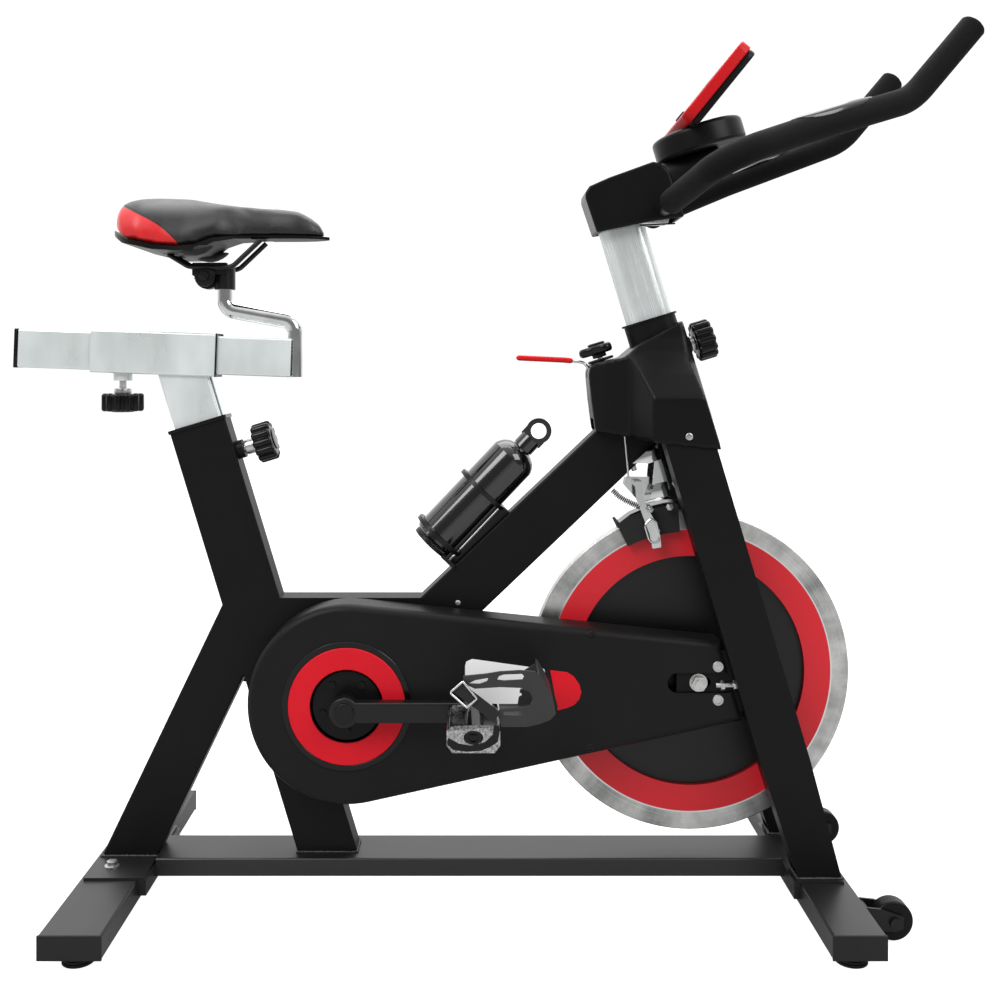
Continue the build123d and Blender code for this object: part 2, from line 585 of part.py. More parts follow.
with BuildPart() as saddle_clamp:
    rod((-357.3, 0, 840), (0, 0, 1), 32, 14.5)
    slab([(-381, 848.5), (-360, 842), (-360, 866), (-381, 868)], -7, 7)
    ring(TILT_PIVOT, 17, 0, -7, 7)
    rod((-357.3, 0, 830), (0, 0, 1), 20.2, STEM_R + 0.05, Mode.SUBTRACT)
    ring(TILT_PIVOT, 4.1, 0, -20, 20, Mode.SUBTRACT)
save(saddle_clamp, "saddle_clamp")

RAIL_R = 3.5
RAIL_LINE = [(-431, 887.5), (-403, 870.5), (-343, 869.5), (-303, 907.5)]
with BuildPart() as saddle_rails:
    for s in (-1, 1):
        ring(TILT_PIVOT, 9, 4, *mirrored(-19, -7.3, s))
        slab([(-399, 858), (-350, 861), (-350, 876.5), (-399, 876.5)], *mirrored(-19, -15, s), radius=2)
        with BuildLine(Plane.XZ.offset(s * 22.5)) as rail_line:
            FilletPolyline(*RAIL_LINE, radius=18)
        with BuildSketch(Plane(rail_line.line @ 0, z_dir=rail_line.line % 0)) as rail_section:
            Circle(RAIL_R)
        sweep(rail_section.sketch, path=rail_line.line)
        ring(TILT_PIVOT, 7, 4, *mirrored(-25, -19, s))
    ring(TILT_PIVOT, 4, 0, -25, 25)
save(saddle_rails, "saddle_rails")

CUSHION_SIDE = [(-500, 926), (-494, 955), (-484, 965), (-450, 967), (-389, 961), (-361, 956), (-305, 951.5),
                (-253.5, 953), (-235, 945.5), (-221, 936), (-211.5, 920.5), (-209, 914), (-295, 914.5),
                (-340, 913), (-365, 908.5), (-385, 897.5), (-408, 893.5), (-436, 895), (-478, 904.5)]
BASE_SIDE = [(-499, 918), (-478, 904), (-436, 894.5), (-408, 893), (-385, 897), (-365, 908), (-340, 912.5),
             (-295, 914), (-210, 913.5), (-210, 909.5), (-295, 909.5), (-338, 908.5), (-363, 902.5), (-384, 890),
             (-408, 887), (-436, 888), (-478, 897.5), (-497, 910)]


def saddle_form(outline, inset):
    """A side outline cut to the saddle's plan: wide at the back, a narrow nose in front."""
    with BuildPart() as form:
        slab(outline, -120, 120)
        with BuildSketch(Plane.XY.offset(800)) as plan:
            with BuildLine():
                tail = Spline((-500, 0), (-494, 60 - inset), (-458, 96 - inset), (-397, 78 - inset),
                              (-348, 40 - inset), (-288, 26 - inset), (-233, 22 - inset), (-208, 0))
                mirror(tail, about=Plane.XZ)
            make_face()
        extrude(plan.sketch, amount=300, mode=Mode.INTERSECT)
    return form


save(saddle_form(CUSHION_SIDE, 0.0), "saddle_cushion")
with BuildPart() as saddle_base:
    add(saddle_form(BASE_SIDE, 4.0).part)
    for s in (-1, 1):
        block((-440, -418), mirrored(-28, -17, s), (878, 892), Mode.SUBTRACT)
        block((-316, -292), mirrored(-28, -17, s), (878, 912), Mode.SUBTRACT)
save(saddle_base, "saddle_base")

# ---- handlebar post, housing, bars ----
BAR_POST_DOWN = 140.0
BAR_POINTS = [(637.5, -140, 1173), (555, -140, 1075), (396, -211, 1020), (291, -262, 979), (255, -60, 950)]
BAR_RADII = [60, 120, 45, 30]
BAR_R = 11.0
STEM_BLOCK = [(170, 932), (264, 932), (268, 950), (260, 968), (184, 968)]
with BuildPart() as bar_post:
    oval_bar(on_post(HEAD_TOP, BAR_POST_DOWN), UP, BAR_POST_DOWN + 150, BAR_POST)
    oval_bar(on_post(HEAD_TOP, BAR_POST_DOWN), UP, BAR_POST_DOWN + 150, shrink(BAR_POST, WALL), Mode.SUBTRACT)
    slab(STEM_BLOCK, -18, 18)
    rod((255, 100, 950), (0, -1, 0), 200, BAR_R + 0.02, Mode.SUBTRACT)
    with BuildSketch(Plane(origin=on_post(HEAD_TOP, 62, 20), x_dir=UP, z_dir=AHEAD)) as bar_slot:
        SlotOverall(178, 12)
    extrude(bar_slot.sketch, amount=30, mode=Mode.SUBTRACT)
save(bar_post, "bar_post")


def bar_line(points, radii):
    """The handlebar's centre line through its corners, with a bend at each."""
    with BuildLine() as line:
        FilletPolyline(*points, radius=radii)
    return line.line


def tube_along(line, outer, inner=0.0):
    """A round tube along a line, added to the open part."""
    with BuildSketch(Plane(line @ 0, z_dir=line % 0)) as section:
        Circle(outer)
        if inner:
            Circle(inner, mode=Mode.SUBTRACT)
    sweep(section.sketch, path=line)


def flip(points):
    """The same points on the other side of the bike."""
    return [(x, -y, z) for x, y, z in points]


WHOLE_BAR = BAR_POINTS + flip(BAR_POINTS)[::-1]
with BuildPart() as handlebar:
    tube_along(bar_line(WHOLE_BAR, BAR_RADII[:3] + [30, 30] + BAR_RADII[:3][::-1]), BAR_R)
save(handlebar, "handlebar")

GRIP_START = Vector(*BAR_POINTS[4]) + (Vector(*BAR_POINTS[3]) - Vector(*BAR_POINTS[4])) * 0.28
with BuildPart() as foam_grips:
    for s in (-1, 1):
        corners = [tuple(GRIP_START)] + BAR_POINTS[3::-1]
        grip_line = bar_line(corners if s < 0 else flip(corners), [45, 120, 60])
        tube_along(grip_line, 17, BAR_R + 0.15)
save(foam_grips, "foam_grips")

HOUSING = [(163, 917), (146, 968), (152, 982), (180, 994), (241, 1015), (263, 1001), (284, 939), (232, 931)]
HOUSING_HOLLOW = [(175, 895), (150, 967), (155.5, 978.5), (181, 990), (241, 1011), (259.5, 999), (288, 915),
                  (232, 905)]
HOUSING_HALF = 34.0
with BuildPart() as bar_housing:
    slab(HOUSING, -HOUSING_HALF, HOUSING_HALF)
    fillet(bar_housing.part.edges().filter_by(GeomType.LINE).group_by(Axis.Z)[-1], 3)
    slab(HOUSING_HOLLOW, 3 - HOUSING_HALF, HOUSING_HALF - 3, mode=Mode.SUBTRACT)
    rod((255, 100, 950), (0, -1, 0), 200, BAR_R + 1.5, Mode.SUBTRACT)
save(bar_housing, "bar_housing")

DISC_FOOT = Vector(314.7, 0, 1033.3)
with BuildPart() as console_mount:
    rod(DISC_FOOT, UP, 32, 64)
    fillet(console_mount.part.edges().group_by(SortBy.LENGTH)[-1], 5)
    slab([(262, 1016), (330, 1041), (322, 1004), (276, 975)], -24, 24)
    slab(HOUSING, -HOUSING_HALF, HOUSING_HALF, mode=Mode.SUBTRACT)
save(console_mount, "console_mount")

SCREEN_TILT = radians(51)
SCREEN_UP = Vector(cos(SCREEN_TILT), 0, sin(SCREEN_TILT))
SCREEN_OUT = Vector(-sin(SCREEN_TILT), 0, cos(SCREEN_TILT))
SCREEN_FOOT = Vector(262, 0, 1052.5)
SCREEN_FACE = 2.5  # rider-side face, out from the foot point
CONSOLE_DEEP = 25.0
WELL_DEEP = 6.0


def on_screen(up, out=0.0):
    """A point in the middle plane, up the console's face and out of it towards the rider."""
    return SCREEN_FOOT + SCREEN_UP * up + SCREEN_OUT * (SCREEN_FACE + out)


BUTTON_UP = 38.0
with BuildPart() as console:
    with BuildSketch(Plane(origin=on_screen(82, -CONSOLE_DEEP), x_dir=(0, 1, 0), z_dir=SCREEN_OUT)) as face:
        RectangleRounded(184, 130, 16)
    extrude(face.sketch, amount=CONSOLE_DEEP)
    rod(on_screen(BUTTON_UP, -WELL_DEEP), SCREEN_OUT, 20, 9, Mode.SUBTRACT)
    rod(DISC_FOOT - UP * 10, UP, 42, 64.2, Mode.SUBTRACT)
save(console, "console")

with BuildPart() as console_button:
    rod(on_screen(BUTTON_UP, -4), SCREEN_OUT, 6, 8.6)
save(console_button, "console_button")

# ---- brake ----
SHOE_BACK = [(192, 519), (208, 531), (232, 541.5), (256, 547), (276, 548), (276, 543.8), (256, 542.6), (233, 537),
             (210, 526.5), (195, 515)]
LINK_BAR = [(218, 548), (226, 550), (250, 506), (252, 482), (240, 480), (236, 500)]
with BuildPart() as brake_arm:
    slab([(282, 564), (282, 576), (268, 577), (206, 578), (204, 566), (226, 541), (246, 546)], -10, 10, 2)
    ring(BRAKE_PIVOT, 4, 0, -34, 34)
    slab(SHOE_BACK, -24, 24)
    slab(LINK_BAR, -31, -28, 2)
    block((216, 226), (-28, -10), (566, 573))
    slab([(216, 573), (226, 573), (228, 546), (218, 546)], -31, -28, 1)
    rod((208, -23, 576), (-0.09, 0, 0.996), 92, 1.4)
save(brake_arm, "brake_arm")

SHOE_REAR = (HUB[0] - 0.50 * 600, HUB[1] + 600)
SHOE_FRONT = (HUB[0] - 0.08 * 500, HUB[1] + 500)
with BuildPart() as brake_pad:
    ring(HUB, 233.4, 196, -24, 24)
    ring(HUB, FLYWHEEL_R + 0.8, 150, -14, 14, Mode.SUBTRACT)
    slab([HUB, SHOE_FRONT, (700, 900), (700, 0), (0, 0)], -40, 40, mode=Mode.SUBTRACT)
    slab([HUB, (0, 0), (-100, 700), SHOE_REAR], -40, 40, mode=Mode.SUBTRACT)
    slab([HUB, (700, 307), (700, -100), (0, -100), (0, 307)], -40, 40, mode=Mode.SUBTRACT)
    slab(SHOE_BACK, -24, 24, mode=Mode.SUBTRACT)
    slab(LINK_BAR, -31, -28, mode=Mode.SUBTRACT)
save(brake_pad, "brake_pad")

with BuildPart() as tension_knob:
    with BuildSketch(Plane(origin=KNOB_FOOT + UP * 6, x_dir=AHEAD, z_dir=UP)) as lobes:
        with PolarLocations(15, 3):
            Circle(11)
        Circle(15)
    extrude(lobes.sketch, amount=12)
    rod(KNOB_FOOT - UP * 4, UP, 12, 6)
    rod(KNOB_FOOT - UP * 166, UP, 164, 4)
save(tension_knob, "tension_knob")

LEVER_PIVOT = Vector(158, 0, 725.5)
with BuildPart() as brake_lever:
    rod(LEVER_PIVOT, (-12, 0, 15.5), 18, 2.2)
    rod(LEVER_PIVOT + Vector(-9, 0, 11.5), (-1, 0, 0.15), 30, 2.2)
    rod(LEVER_PIVOT + Vector(-37, 0, 15.7), (-1, 0, 0.04), 68, 3.8)
save(brake_lever, "brake_lever")


# ---- pull pins, clamp knob ----
def ribbed(plane, radius, length, ribs):
    """A ribbed round knob, added to the open part."""
    with BuildSketch(plane) as outline:
        Circle(radius)
        with PolarLocations(radius + 1.5, ribs):
            Circle(4, mode=Mode.SUBTRACT)
    extrude(outline.sketch, amount=length)


def pull_pin(top, start, shank):
    """A height pin: ribbed knob, shank and the pin that goes into the post."""
    with BuildPart() as pin:
        ribbed(Plane(origin=on_post(top, PIN_DOWN, start), x_dir=UP, z_dir=AHEAD), 28, 27, 12)
        rod(on_post(top, PIN_DOWN, start - shank), AHEAD, shank, 11)
        rod(on_post(top, PIN_DOWN, 27), AHEAD, start - 27, 5.0)
    return pin


save(pull_pin(SEAT_TOP, 67.0, 14.0), "seat_pull_knob")
save(pull_pin(HEAD_TOP, 51.0, 6.0), "bar_pull_knob")

with BuildPart() as slider_knob:
    ribbed(Plane(origin=(-501, 0, 669), z_dir=(0, 0, 1)), 30, 25, 12)
    rod((-501, 0, 694), (0, 0, 1), 7, 12)
    rod((-501, 0, 701), (0, 0, 1), 24, 5)
save(slider_knob, "slider_knob")

# ---- transport wheels ----
WHEEL = (527.0, 26.5)
for name, s in (("right", -1), ("left", 1)):
    with BuildPart() as wheel:
        ring(WHEEL, 25, 4.05, *mirrored(-157, -135, s))
        fillet(wheel.part.edges().filter_by(GeomType.CIRCLE).group_by(SortBy.LENGTH)[-1], 3)
    save(wheel, f"transport_wheel_{name}")

with BuildPart() as wheel_brackets:
    for s in (-1, 1):
        for low in (-161.0, -134.0):
            slab([(491, 18), (491, 46), (510, 44), (538, 34), (538, 19), (528, 15)], *mirrored(low, low + 3, s))
        ring(WHEEL, 4, 0, *mirrored(-165, -129, s))
        ring(WHEEL, 7, 4, *mirrored(-165, -161, s))
        block((491, 494), mirrored(-158, -134, s), (20, 44))
save(wheel_brackets, "wheel_brackets")

# ---- bottle and its cage ----
BOTTLE_DIR = Vector(cos(radians(46.5)), 0, sin(radians(46.5)))
BOTTLE_FOOT = Vector(-62.2, 0, 486.7)
BOTTLE_R = 33.5
BOTTLE_UP = Vector(-BOTTLE_DIR.Z, 0, BOTTLE_DIR.X)
BOTTLE_PLANE = Plane(origin=BOTTLE_FOOT, x_dir=BOTTLE_UP, z_dir=(0, 1, 0))
with BuildPart() as bottle:
    with BuildSketch(BOTTLE_PLANE) as half:
        with BuildLine():
            foot = Polyline((0, 0), (BOTTLE_R - 4, 0), (BOTTLE_R, 4), (BOTTLE_R, 160))
            shoulder = ThreePointArc(foot @ 1, (BOTTLE_R - 7, 172), (15, 179))
            Polyline(shoulder @ 1, (13.5, 179), (13.5, 192), (0, 192), (0, 0))
        make_face()
    revolve(half.sketch, axis=Axis(BOTTLE_FOOT, BOTTLE_DIR))
save(bottle, "bottle")

with BuildPart() as bottle_cap:
    rod(BOTTLE_FOOT + BOTTLE_DIR * 180, BOTTLE_DIR, 18, 15.5)
    rod(BOTTLE_FOOT + BOTTLE_DIR * 180, BOTTLE_DIR, 12.2, 13.7, Mode.SUBTRACT)
    loop_centre = BOTTLE_FOOT + BOTTLE_DIR * 213 + Vector(0, 4, 0)
    with BuildSketch(Plane(origin=loop_centre, x_dir=BOTTLE_DIR, z_dir=(0, -1, 0))) as loop:
        Circle(18)
        with Locations((-12, 0)):
            Rectangle(12, 34)
        Circle(11, mode=Mode.SUBTRACT)
    extrude(loop.sketch, amount=8)
save(bottle_cap, "bottle_cap")



def beside_bottle(along, across):
    """X and Z of a point along the bottle from its foot and above its axis."""
    point = BOTTLE_FOOT + BOTTLE_DIR * along + BOTTLE_UP * across
    return (point.X, point.Z)


def cage_slab(along, across, half):
    """A flat bar of the cage, between two distances along the bottle and two across it."""
    corners = [beside_bottle(a, c) for a, c in ((along[0], across[0]), (along[1], across[0]),
                                                (along[1], across[1]), (along[0], across[1]))]
    slab(corners, -half, half)


with BuildPart() as bottle_cage:
    for distance in (8.0, 96.0):
        hoop_plane = Plane(origin=BOTTLE_FOOT + BOTTLE_DIR * distance, x_dir=BOTTLE_UP, z_dir=BOTTLE_DIR)
        with BuildSketch(hoop_plane) as hoop:
            Circle(BOTTLE_R + 6.4)
            Circle(BOTTLE_R + 0.4, mode=Mode.SUBTRACT)
        extrude(hoop.sketch, amount=6)
    for angle in (-42, 42):
        out = Vector(0, 1, 0) * sin(radians(angle)) - BOTTLE_UP * cos(radians(angle))
        rod(BOTTLE_FOOT - BOTTLE_DIR * 7 + out * (BOTTLE_R + 3.4), BOTTLE_DIR, 109, 2.8)
    rod(BOTTLE_FOOT - BOTTLE_DIR * 7, BOTTLE_DIR, 5, 30)
    cage_slab((-7, -2), (-20, -60), 29)
    cage_slab((-7, 102), (-35, -60), 8)
    rod(BOTTLE_FOOT - BOTTLE_DIR * 1.5, BOTTLE_DIR, 200, BOTTLE_R + 0.4, Mode.SUBTRACT)
    box_bar(DOWN_POINT - DOWN_DIR * 500, DOWN_DIR, 640, (DOWN_TUBE[0], 100), 1, Mode.SUBTRACT)
    split(bisect_by=Plane(origin=DOWN_POINT, z_dir=(-DOWN_DIR.Z, 0, DOWN_DIR.X)), keep=Keep.TOP)
save(bottle_cage, "bottle_cage")
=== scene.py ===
# %% [markdown]
# # An indoor spin bike, built up round its engineering model
# The tubes, bearings, guards and joints of this bike already exist as an exact model with real sizes.
# This lesson dresses that model: it gives every surface a finish, and makes the soft, bent and repeated
# pieces (saddle, grips, knobs, screws, springs, straps) that an engineering model leaves plain.
# Everything is in metres: X points forward, Y to the rider's left, Z up, and the floor is at Z = 0.
# Loading the frame first, and never moving it, means each new piece can be placed by the model's own numbers.

# %% Load the frame
import math

import bmesh
import bpy
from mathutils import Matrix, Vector


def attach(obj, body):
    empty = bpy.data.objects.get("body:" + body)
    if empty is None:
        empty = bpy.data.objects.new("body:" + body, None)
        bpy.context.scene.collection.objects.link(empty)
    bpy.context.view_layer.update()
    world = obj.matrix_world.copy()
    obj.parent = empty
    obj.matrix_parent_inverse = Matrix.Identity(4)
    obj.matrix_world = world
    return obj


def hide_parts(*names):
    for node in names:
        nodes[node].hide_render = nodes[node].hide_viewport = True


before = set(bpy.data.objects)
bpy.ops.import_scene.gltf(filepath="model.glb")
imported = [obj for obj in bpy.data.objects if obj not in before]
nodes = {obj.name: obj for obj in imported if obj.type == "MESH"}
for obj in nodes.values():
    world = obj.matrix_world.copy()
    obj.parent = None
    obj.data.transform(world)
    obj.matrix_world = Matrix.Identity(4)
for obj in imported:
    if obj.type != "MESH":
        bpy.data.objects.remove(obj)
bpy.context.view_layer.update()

# %% [markdown]
# ## Camera
# The bike is seen square from its right side, with the lens level and a little under the handlebar height.
# A lens shift, rather than a tilt, keeps every upright tube truly upright, as a product shot does.
# The camera is 1.6 m from the middle of the bike, near enough for the closer end of each floor bar to look longer.

# %% Set the camera
camera_data = bpy.data.cameras.new("side_camera")
camera_data.lens = 40.73
camera_data.sensor_width = 36.0
camera_data.shift_x = 0.0289
camera_data.shift_y = -0.1255
camera_data.clip_end = 60.0
camera = bpy.data.objects.new("side_camera", camera_data)
camera.location = (-0.008, -1.600, 0.7325)
camera.rotation_euler = (math.radians(90.0), 0.0, 0.0)
bpy.context.scene.collection.objects.link(camera)
bpy.context.scene.camera = camera
print("camera at", tuple(round(c, 3) for c in camera.location))

# %% [markdown]
# ## Node wiring helper
# Shader trees and Geometry Nodes trees are wired the same way: make a node, then plug sockets or plain
# values into its inputs. One small helper for that keeps each recipe below short enough to read.


# %% Wire nodes
def wire(tree, kind, inputs=None, **settings):
    """Adds a node; each input is a plain value or another node's output socket."""
    node = tree.nodes.new(kind)
    for key, value in settings.items():
        setattr(node, key, value)
    for key, value in (inputs or {}).items():
        socket = node.inputs[key]
        if isinstance(value, bpy.types.NodeSocket):
            tree.links.new(value, socket)
        else:
            socket.default_value = value
    return node


def math_node(tree, operation, *values):
    """A maths node's result, with its operands in order."""
    return wire(tree, "ShaderNodeMath", dict(enumerate(values)), operation=operation).outputs[0]


def new_group(name, kind, sockets_in, sockets_out):
    """An empty node group with named inputs (name, type, default) and outputs (name, type)."""
    group = bpy.data.node_groups.new(name, kind)
    for label, socket_type, default in sockets_in:
        made = group.interface.new_socket(label, in_out="INPUT", socket_type=socket_type)
        if default is not None:
            made.default_value = default
    for label, socket_type in sockets_out:
        group.interface.new_socket(label, in_out="OUTPUT", socket_type=socket_type)
    start = group.nodes.new("NodeGroupInput")
    end = group.nodes.new("NodeGroupOutput")
    return group, start, end


FLOAT, COLOUR, VECTOR = "NodeSocketFloat", "NodeSocketColor", "NodeSocketVector"
print("helpers ready")

# %% [markdown]
# ## Studio
# A white product set: a very large pale floor, a white sky that only the camera sees at full strength, and
# three big soft lamps. Reflections come from a softer version of the sky, white behind and above the bike
# and dimmer in front of it. That is why black paint stays black on the side faces and turns grey on top,
# where it mirrors the sky at a low angle. Fine control of what black paint mirrors is most of lighting it.

# %% Light the set
world = bpy.data.worlds.new("white_studio")
bpy.context.scene.world = world
world.use_nodes = True
sky = world.node_tree
sky.nodes.clear()
sky_direction = wire(sky, "ShaderNodeTexCoord").outputs["Generated"]
sky_side = wire(sky, "ShaderNodeVectorMath", {0: sky_direction, 1: (-0.12, 0.62, 0.72)},
                operation="DOT_PRODUCT")
sky_level = wire(sky, "ShaderNodeMapRange", {"Value": sky_side.outputs["Value"], "From Min": -0.35,
                                             "From Max": 0.75,
                                             "To Min": 0.22, "To Max": 1.25}, interpolation_type="SMOOTHSTEP")
sky_seen = wire(sky, "ShaderNodeLightPath").outputs["Is Camera Ray"]
sky_strength = wire(sky, "ShaderNodeMix", {"Factor": sky_seen, 2: sky_level.outputs["Result"], 3: 1.05},
                    data_type="FLOAT")
sky_light = wire(sky, "ShaderNodeBackground", {"Color": (1, 1, 1, 1), "Strength": sky_strength.outputs[0]})
wire(sky, "ShaderNodeOutputWorld", {"Surface": sky_light.outputs[0]})


def soft_lamp(name, place, aim, size, watts):
    """A large square lamp that faces a point."""
    data = bpy.data.lights.new(name, "AREA")
    data.energy = watts
    data.size = size
    lamp = bpy.data.objects.new(name, data)
    lamp.location = place
    lamp.rotation_euler = (Vector(aim) - Vector(place)).to_track_quat("-Z", "Y").to_euler()
    bpy.context.scene.collection.objects.link(lamp)


soft_lamp("key_lamp", (-1.9, -2.3, 3.0), (0.0, 0.0, 0.5), 1.8, 58.0)
soft_lamp("fill_lamp", (2.3, -2.0, 2.6), (0.1, 0.0, 0.5), 1.8, 44.0)
soft_lamp("top_lamp", (0.0, 0.9, 3.2), (0.0, 0.0, 0.4), 2.4, 40.0)
view_settings = bpy.context.scene.view_settings
view_settings.view_transform = "Standard"

floor_mesh = bpy.data.meshes.new("studio_floor")
FLOOR_HALF = 14.0
FLOOR_DROP = -0.0006
floor_mesh.from_pydata([(-FLOOR_HALF, -FLOOR_HALF, FLOOR_DROP), (FLOOR_HALF, -FLOOR_HALF, FLOOR_DROP),
                        (FLOOR_HALF, FLOOR_HALF, FLOOR_DROP), (-FLOOR_HALF, FLOOR_HALF, FLOOR_DROP)], [],
                        [(0, 1, 2, 3)])
studio_floor = bpy.data.objects.new("studio_floor", floor_mesh)
bpy.context.scene.collection.objects.link(studio_floor)
floor_paint = bpy.data.materials.new("studio_floor")
floor_paint.use_nodes = True
floor_shader = floor_paint.node_tree.nodes["Principled BSDF"]
floor_shader.inputs["Base Color"].default_value = (0.40, 0.40, 0.40, 1)
floor_shader.inputs["Roughness"].default_value = 0.9
floor_shader.inputs["Emission Color"].default_value = (1, 1, 1, 1)
floor_seen = wire(floor_paint.node_tree, "ShaderNodeLightPath").outputs["Is Camera Ray"]
floor_glow = wire(floor_paint.node_tree, "ShaderNodeMapRange",
                  {"Value": floor_seen, "To Min": 0.06, "To Max": 0.95}).outputs[0]
floor_paint.node_tree.links.new(floor_glow, floor_shader.inputs["Emission Strength"])
floor_mesh.materials.append(floor_paint)
print("studio set")

# %% [markdown]
# ## Shared effects
# Most of the bike wears one of a few surfaces: sprayed paint or moulded plastic with a fine skin, drawn metal
# with long streaks, and turned metal with rings round its axle. Each effect is made once as a group that puts
# out colours, roughness and height, and each material feeds it its own numbers. The shader stays outside.

# %% Moulded and sprayed skin
grain_group, grain_in, grain_out = new_group(
    "fine_grain", "ShaderNodeTree",
    [("Vector", VECTOR, None), ("Grain Size", FLOAT, 900.0), ("Dark Colour", COLOUR, (0.01, 0.01, 0.01, 1)),
     ("Light Colour", COLOUR, (0.02, 0.02, 0.02, 1)), ("Rough Low", FLOAT, 0.3), ("Rough High", FLOAT, 0.45),
     ("Handling", FLOAT, 0.3)],
    [("Colour", COLOUR), ("Roughness", FLOAT), ("Height", FLOAT)])
grain_fine = wire(grain_group, "ShaderNodeTexNoise", {
    "Vector": grain_in.outputs["Vector"], "Scale": grain_in.outputs["Grain Size"], "Detail": 2.0}).outputs[0]
grain_broad = wire(grain_group, "ShaderNodeTexNoise", {
    "Vector": grain_in.outputs["Vector"], "Scale": 9.0, "Detail": 4.0, "Roughness": 0.65}).outputs[0]
grain_touch = wire(grain_group, "ShaderNodeMapRange", {
    "Value": grain_broad, "From Min": 0.35, "From Max": 0.7, "To Min": 0.0, "To Max": 1.0}).outputs[0]
grain_mix = math_node(grain_group, "MULTIPLY_ADD", grain_touch, grain_in.outputs["Handling"],
                      math_node(grain_group, "MULTIPLY", grain_fine, 0.5))
grain_colour = wire(grain_group, "ShaderNodeMix", {
    "Factor": grain_mix, 6: grain_in.outputs["Dark Colour"], 7: grain_in.outputs["Light Colour"]},
    data_type="RGBA").outputs[2]
grain_rough = wire(grain_group, "ShaderNodeMix", {
    "Factor": grain_mix, 2: grain_in.outputs["Rough Low"], 3: grain_in.outputs["Rough High"]},
    data_type="FLOAT").outputs[0]
grain_group.links.new(grain_colour, grain_out.inputs["Colour"])
grain_group.links.new(grain_rough, grain_out.inputs["Roughness"])
grain_group.links.new(grain_fine, grain_out.inputs["Height"])
print("fine_grain inputs", [s.name for s in grain_in.outputs if s.name])

# %% [markdown]
# Drawn tube and rolled plate carry streaks along the way they were pulled. Noise squeezed along two axes and
# stretched along the third gives them. The stretch is an input, so a post that leans can turn its own pattern.

# %% Drawn metal streaks
streak_group, streak_in, streak_out = new_group(
    "drawn_streaks", "ShaderNodeTree",
    [("Vector", VECTOR, None), ("Stretch", VECTOR, (1.0, 60.0, 60.0)),
     ("Dark Colour", COLOUR, (0.4, 0.4, 0.4, 1)),
     ("Light Colour", COLOUR, (0.7, 0.7, 0.7, 1)), ("Rough Low", FLOAT, 0.15), ("Rough High", FLOAT, 0.35)],
    [("Colour", COLOUR), ("Roughness", FLOAT), ("Height", FLOAT)])
streak_space = wire(streak_group, "ShaderNodeVectorMath", {
    0: streak_in.outputs["Vector"], 1: streak_in.outputs["Stretch"]}, operation="MULTIPLY").outputs[0]
streak_fine = wire(streak_group, "ShaderNodeTexNoise", {"Vector": streak_space, "Scale": 14.0,
                                                        "Detail": 5.0}).outputs[0]
streak_cloud = wire(streak_group, "ShaderNodeTexNoise", {
    "Vector": streak_in.outputs["Vector"], "Scale": 11.0, "Detail": 3.0}).outputs[0]
streak_mix = wire(streak_group, "ShaderNodeMapRange", {
    "Value": math_node(streak_group, "ADD", math_node(streak_group, "MULTIPLY", streak_fine, 0.6),
                       math_node(streak_group, "MULTIPLY", streak_cloud, 0.4)),
    "From Min": 0.36, "From Max": 0.64}).outputs[0]
streak_colour = wire(streak_group, "ShaderNodeMix", {
    "Factor": streak_mix, 6: streak_in.outputs["Dark Colour"], 7: streak_in.outputs["Light Colour"]},
    data_type="RGBA").outputs[2]
streak_rough = wire(streak_group, "ShaderNodeMix", {
    "Factor": streak_mix, 2: streak_in.outputs["Rough Low"], 3: streak_in.outputs["Rough High"]},
    data_type="FLOAT").outputs[0]
streak_group.links.new(streak_colour, streak_out.inputs["Colour"])
streak_group.links.new(streak_rough, streak_out.inputs["Roughness"])
streak_group.links.new(streak_fine, streak_out.inputs["Height"])
print("drawn_streaks ready")

# %% [markdown]
# A part that was turned or painted on a spindle has a pattern about its axle. This group changes a point into
# its radius and angle about a cross axle through a given centre, which also tells one painted ring from the next.

# %% Round the axle
polar_group, polar_in, polar_out = new_group(
    "round_the_axle", "ShaderNodeTree", [("Vector", VECTOR, None), ("Centre", VECTOR, (0.0, 0.0, 0.0))],
    [("Radius", FLOAT), ("Angle", FLOAT), ("Ring Noise", FLOAT), ("Sweep Noise", FLOAT)])
polar_offset = wire(polar_group, "ShaderNodeVectorMath", {
    0: polar_in.outputs["Vector"], 1: polar_in.outputs["Centre"]}, operation="SUBTRACT").outputs[0]
polar_axes = wire(polar_group, "ShaderNodeSeparateXYZ", {0: polar_offset}).outputs
polar_radius = math_node(polar_group, "SQRT", math_node(
    polar_group, "ADD", math_node(polar_group, "MULTIPLY", polar_axes[0], polar_axes[0]),
    math_node(polar_group, "MULTIPLY", polar_axes[2], polar_axes[2])))
polar_angle = math_node(polar_group, "ARCTAN2", polar_axes[2], polar_axes[0])
polar_turn = wire(polar_group, "ShaderNodeCombineXYZ", {
    0: math_node(polar_group, "COSINE", polar_angle), 1: math_node(polar_group, "SINE", polar_angle),
    2: math_node(polar_group, "MULTIPLY", polar_radius, 2200.0)}).outputs[0]
polar_ring = wire(polar_group, "ShaderNodeTexNoise", {"Vector": polar_turn, "Scale": 1.0,
                                                      "Detail": 2.0}).outputs[0]
polar_fan = wire(polar_group, "ShaderNodeCombineXYZ", {
    0: math_node(polar_group, "COSINE", polar_angle), 1: math_node(polar_group, "SINE", polar_angle),
    2: math_node(polar_group, "MULTIPLY", polar_radius, 3.0)}).outputs[0]
polar_sweep = wire(polar_group, "ShaderNodeTexNoise", {"Vector": polar_fan, "Scale": 3.2, "Detail": 5.0,
                                                       "Roughness": 0.6}).outputs[0]
for polar_label, polar_value in (("Radius", polar_radius), ("Angle", polar_angle), ("Ring Noise", polar_ring),
                                 ("Sweep Noise", polar_sweep)):
    polar_group.links.new(polar_value, polar_out.inputs[polar_label])
print("round_the_axle ready")

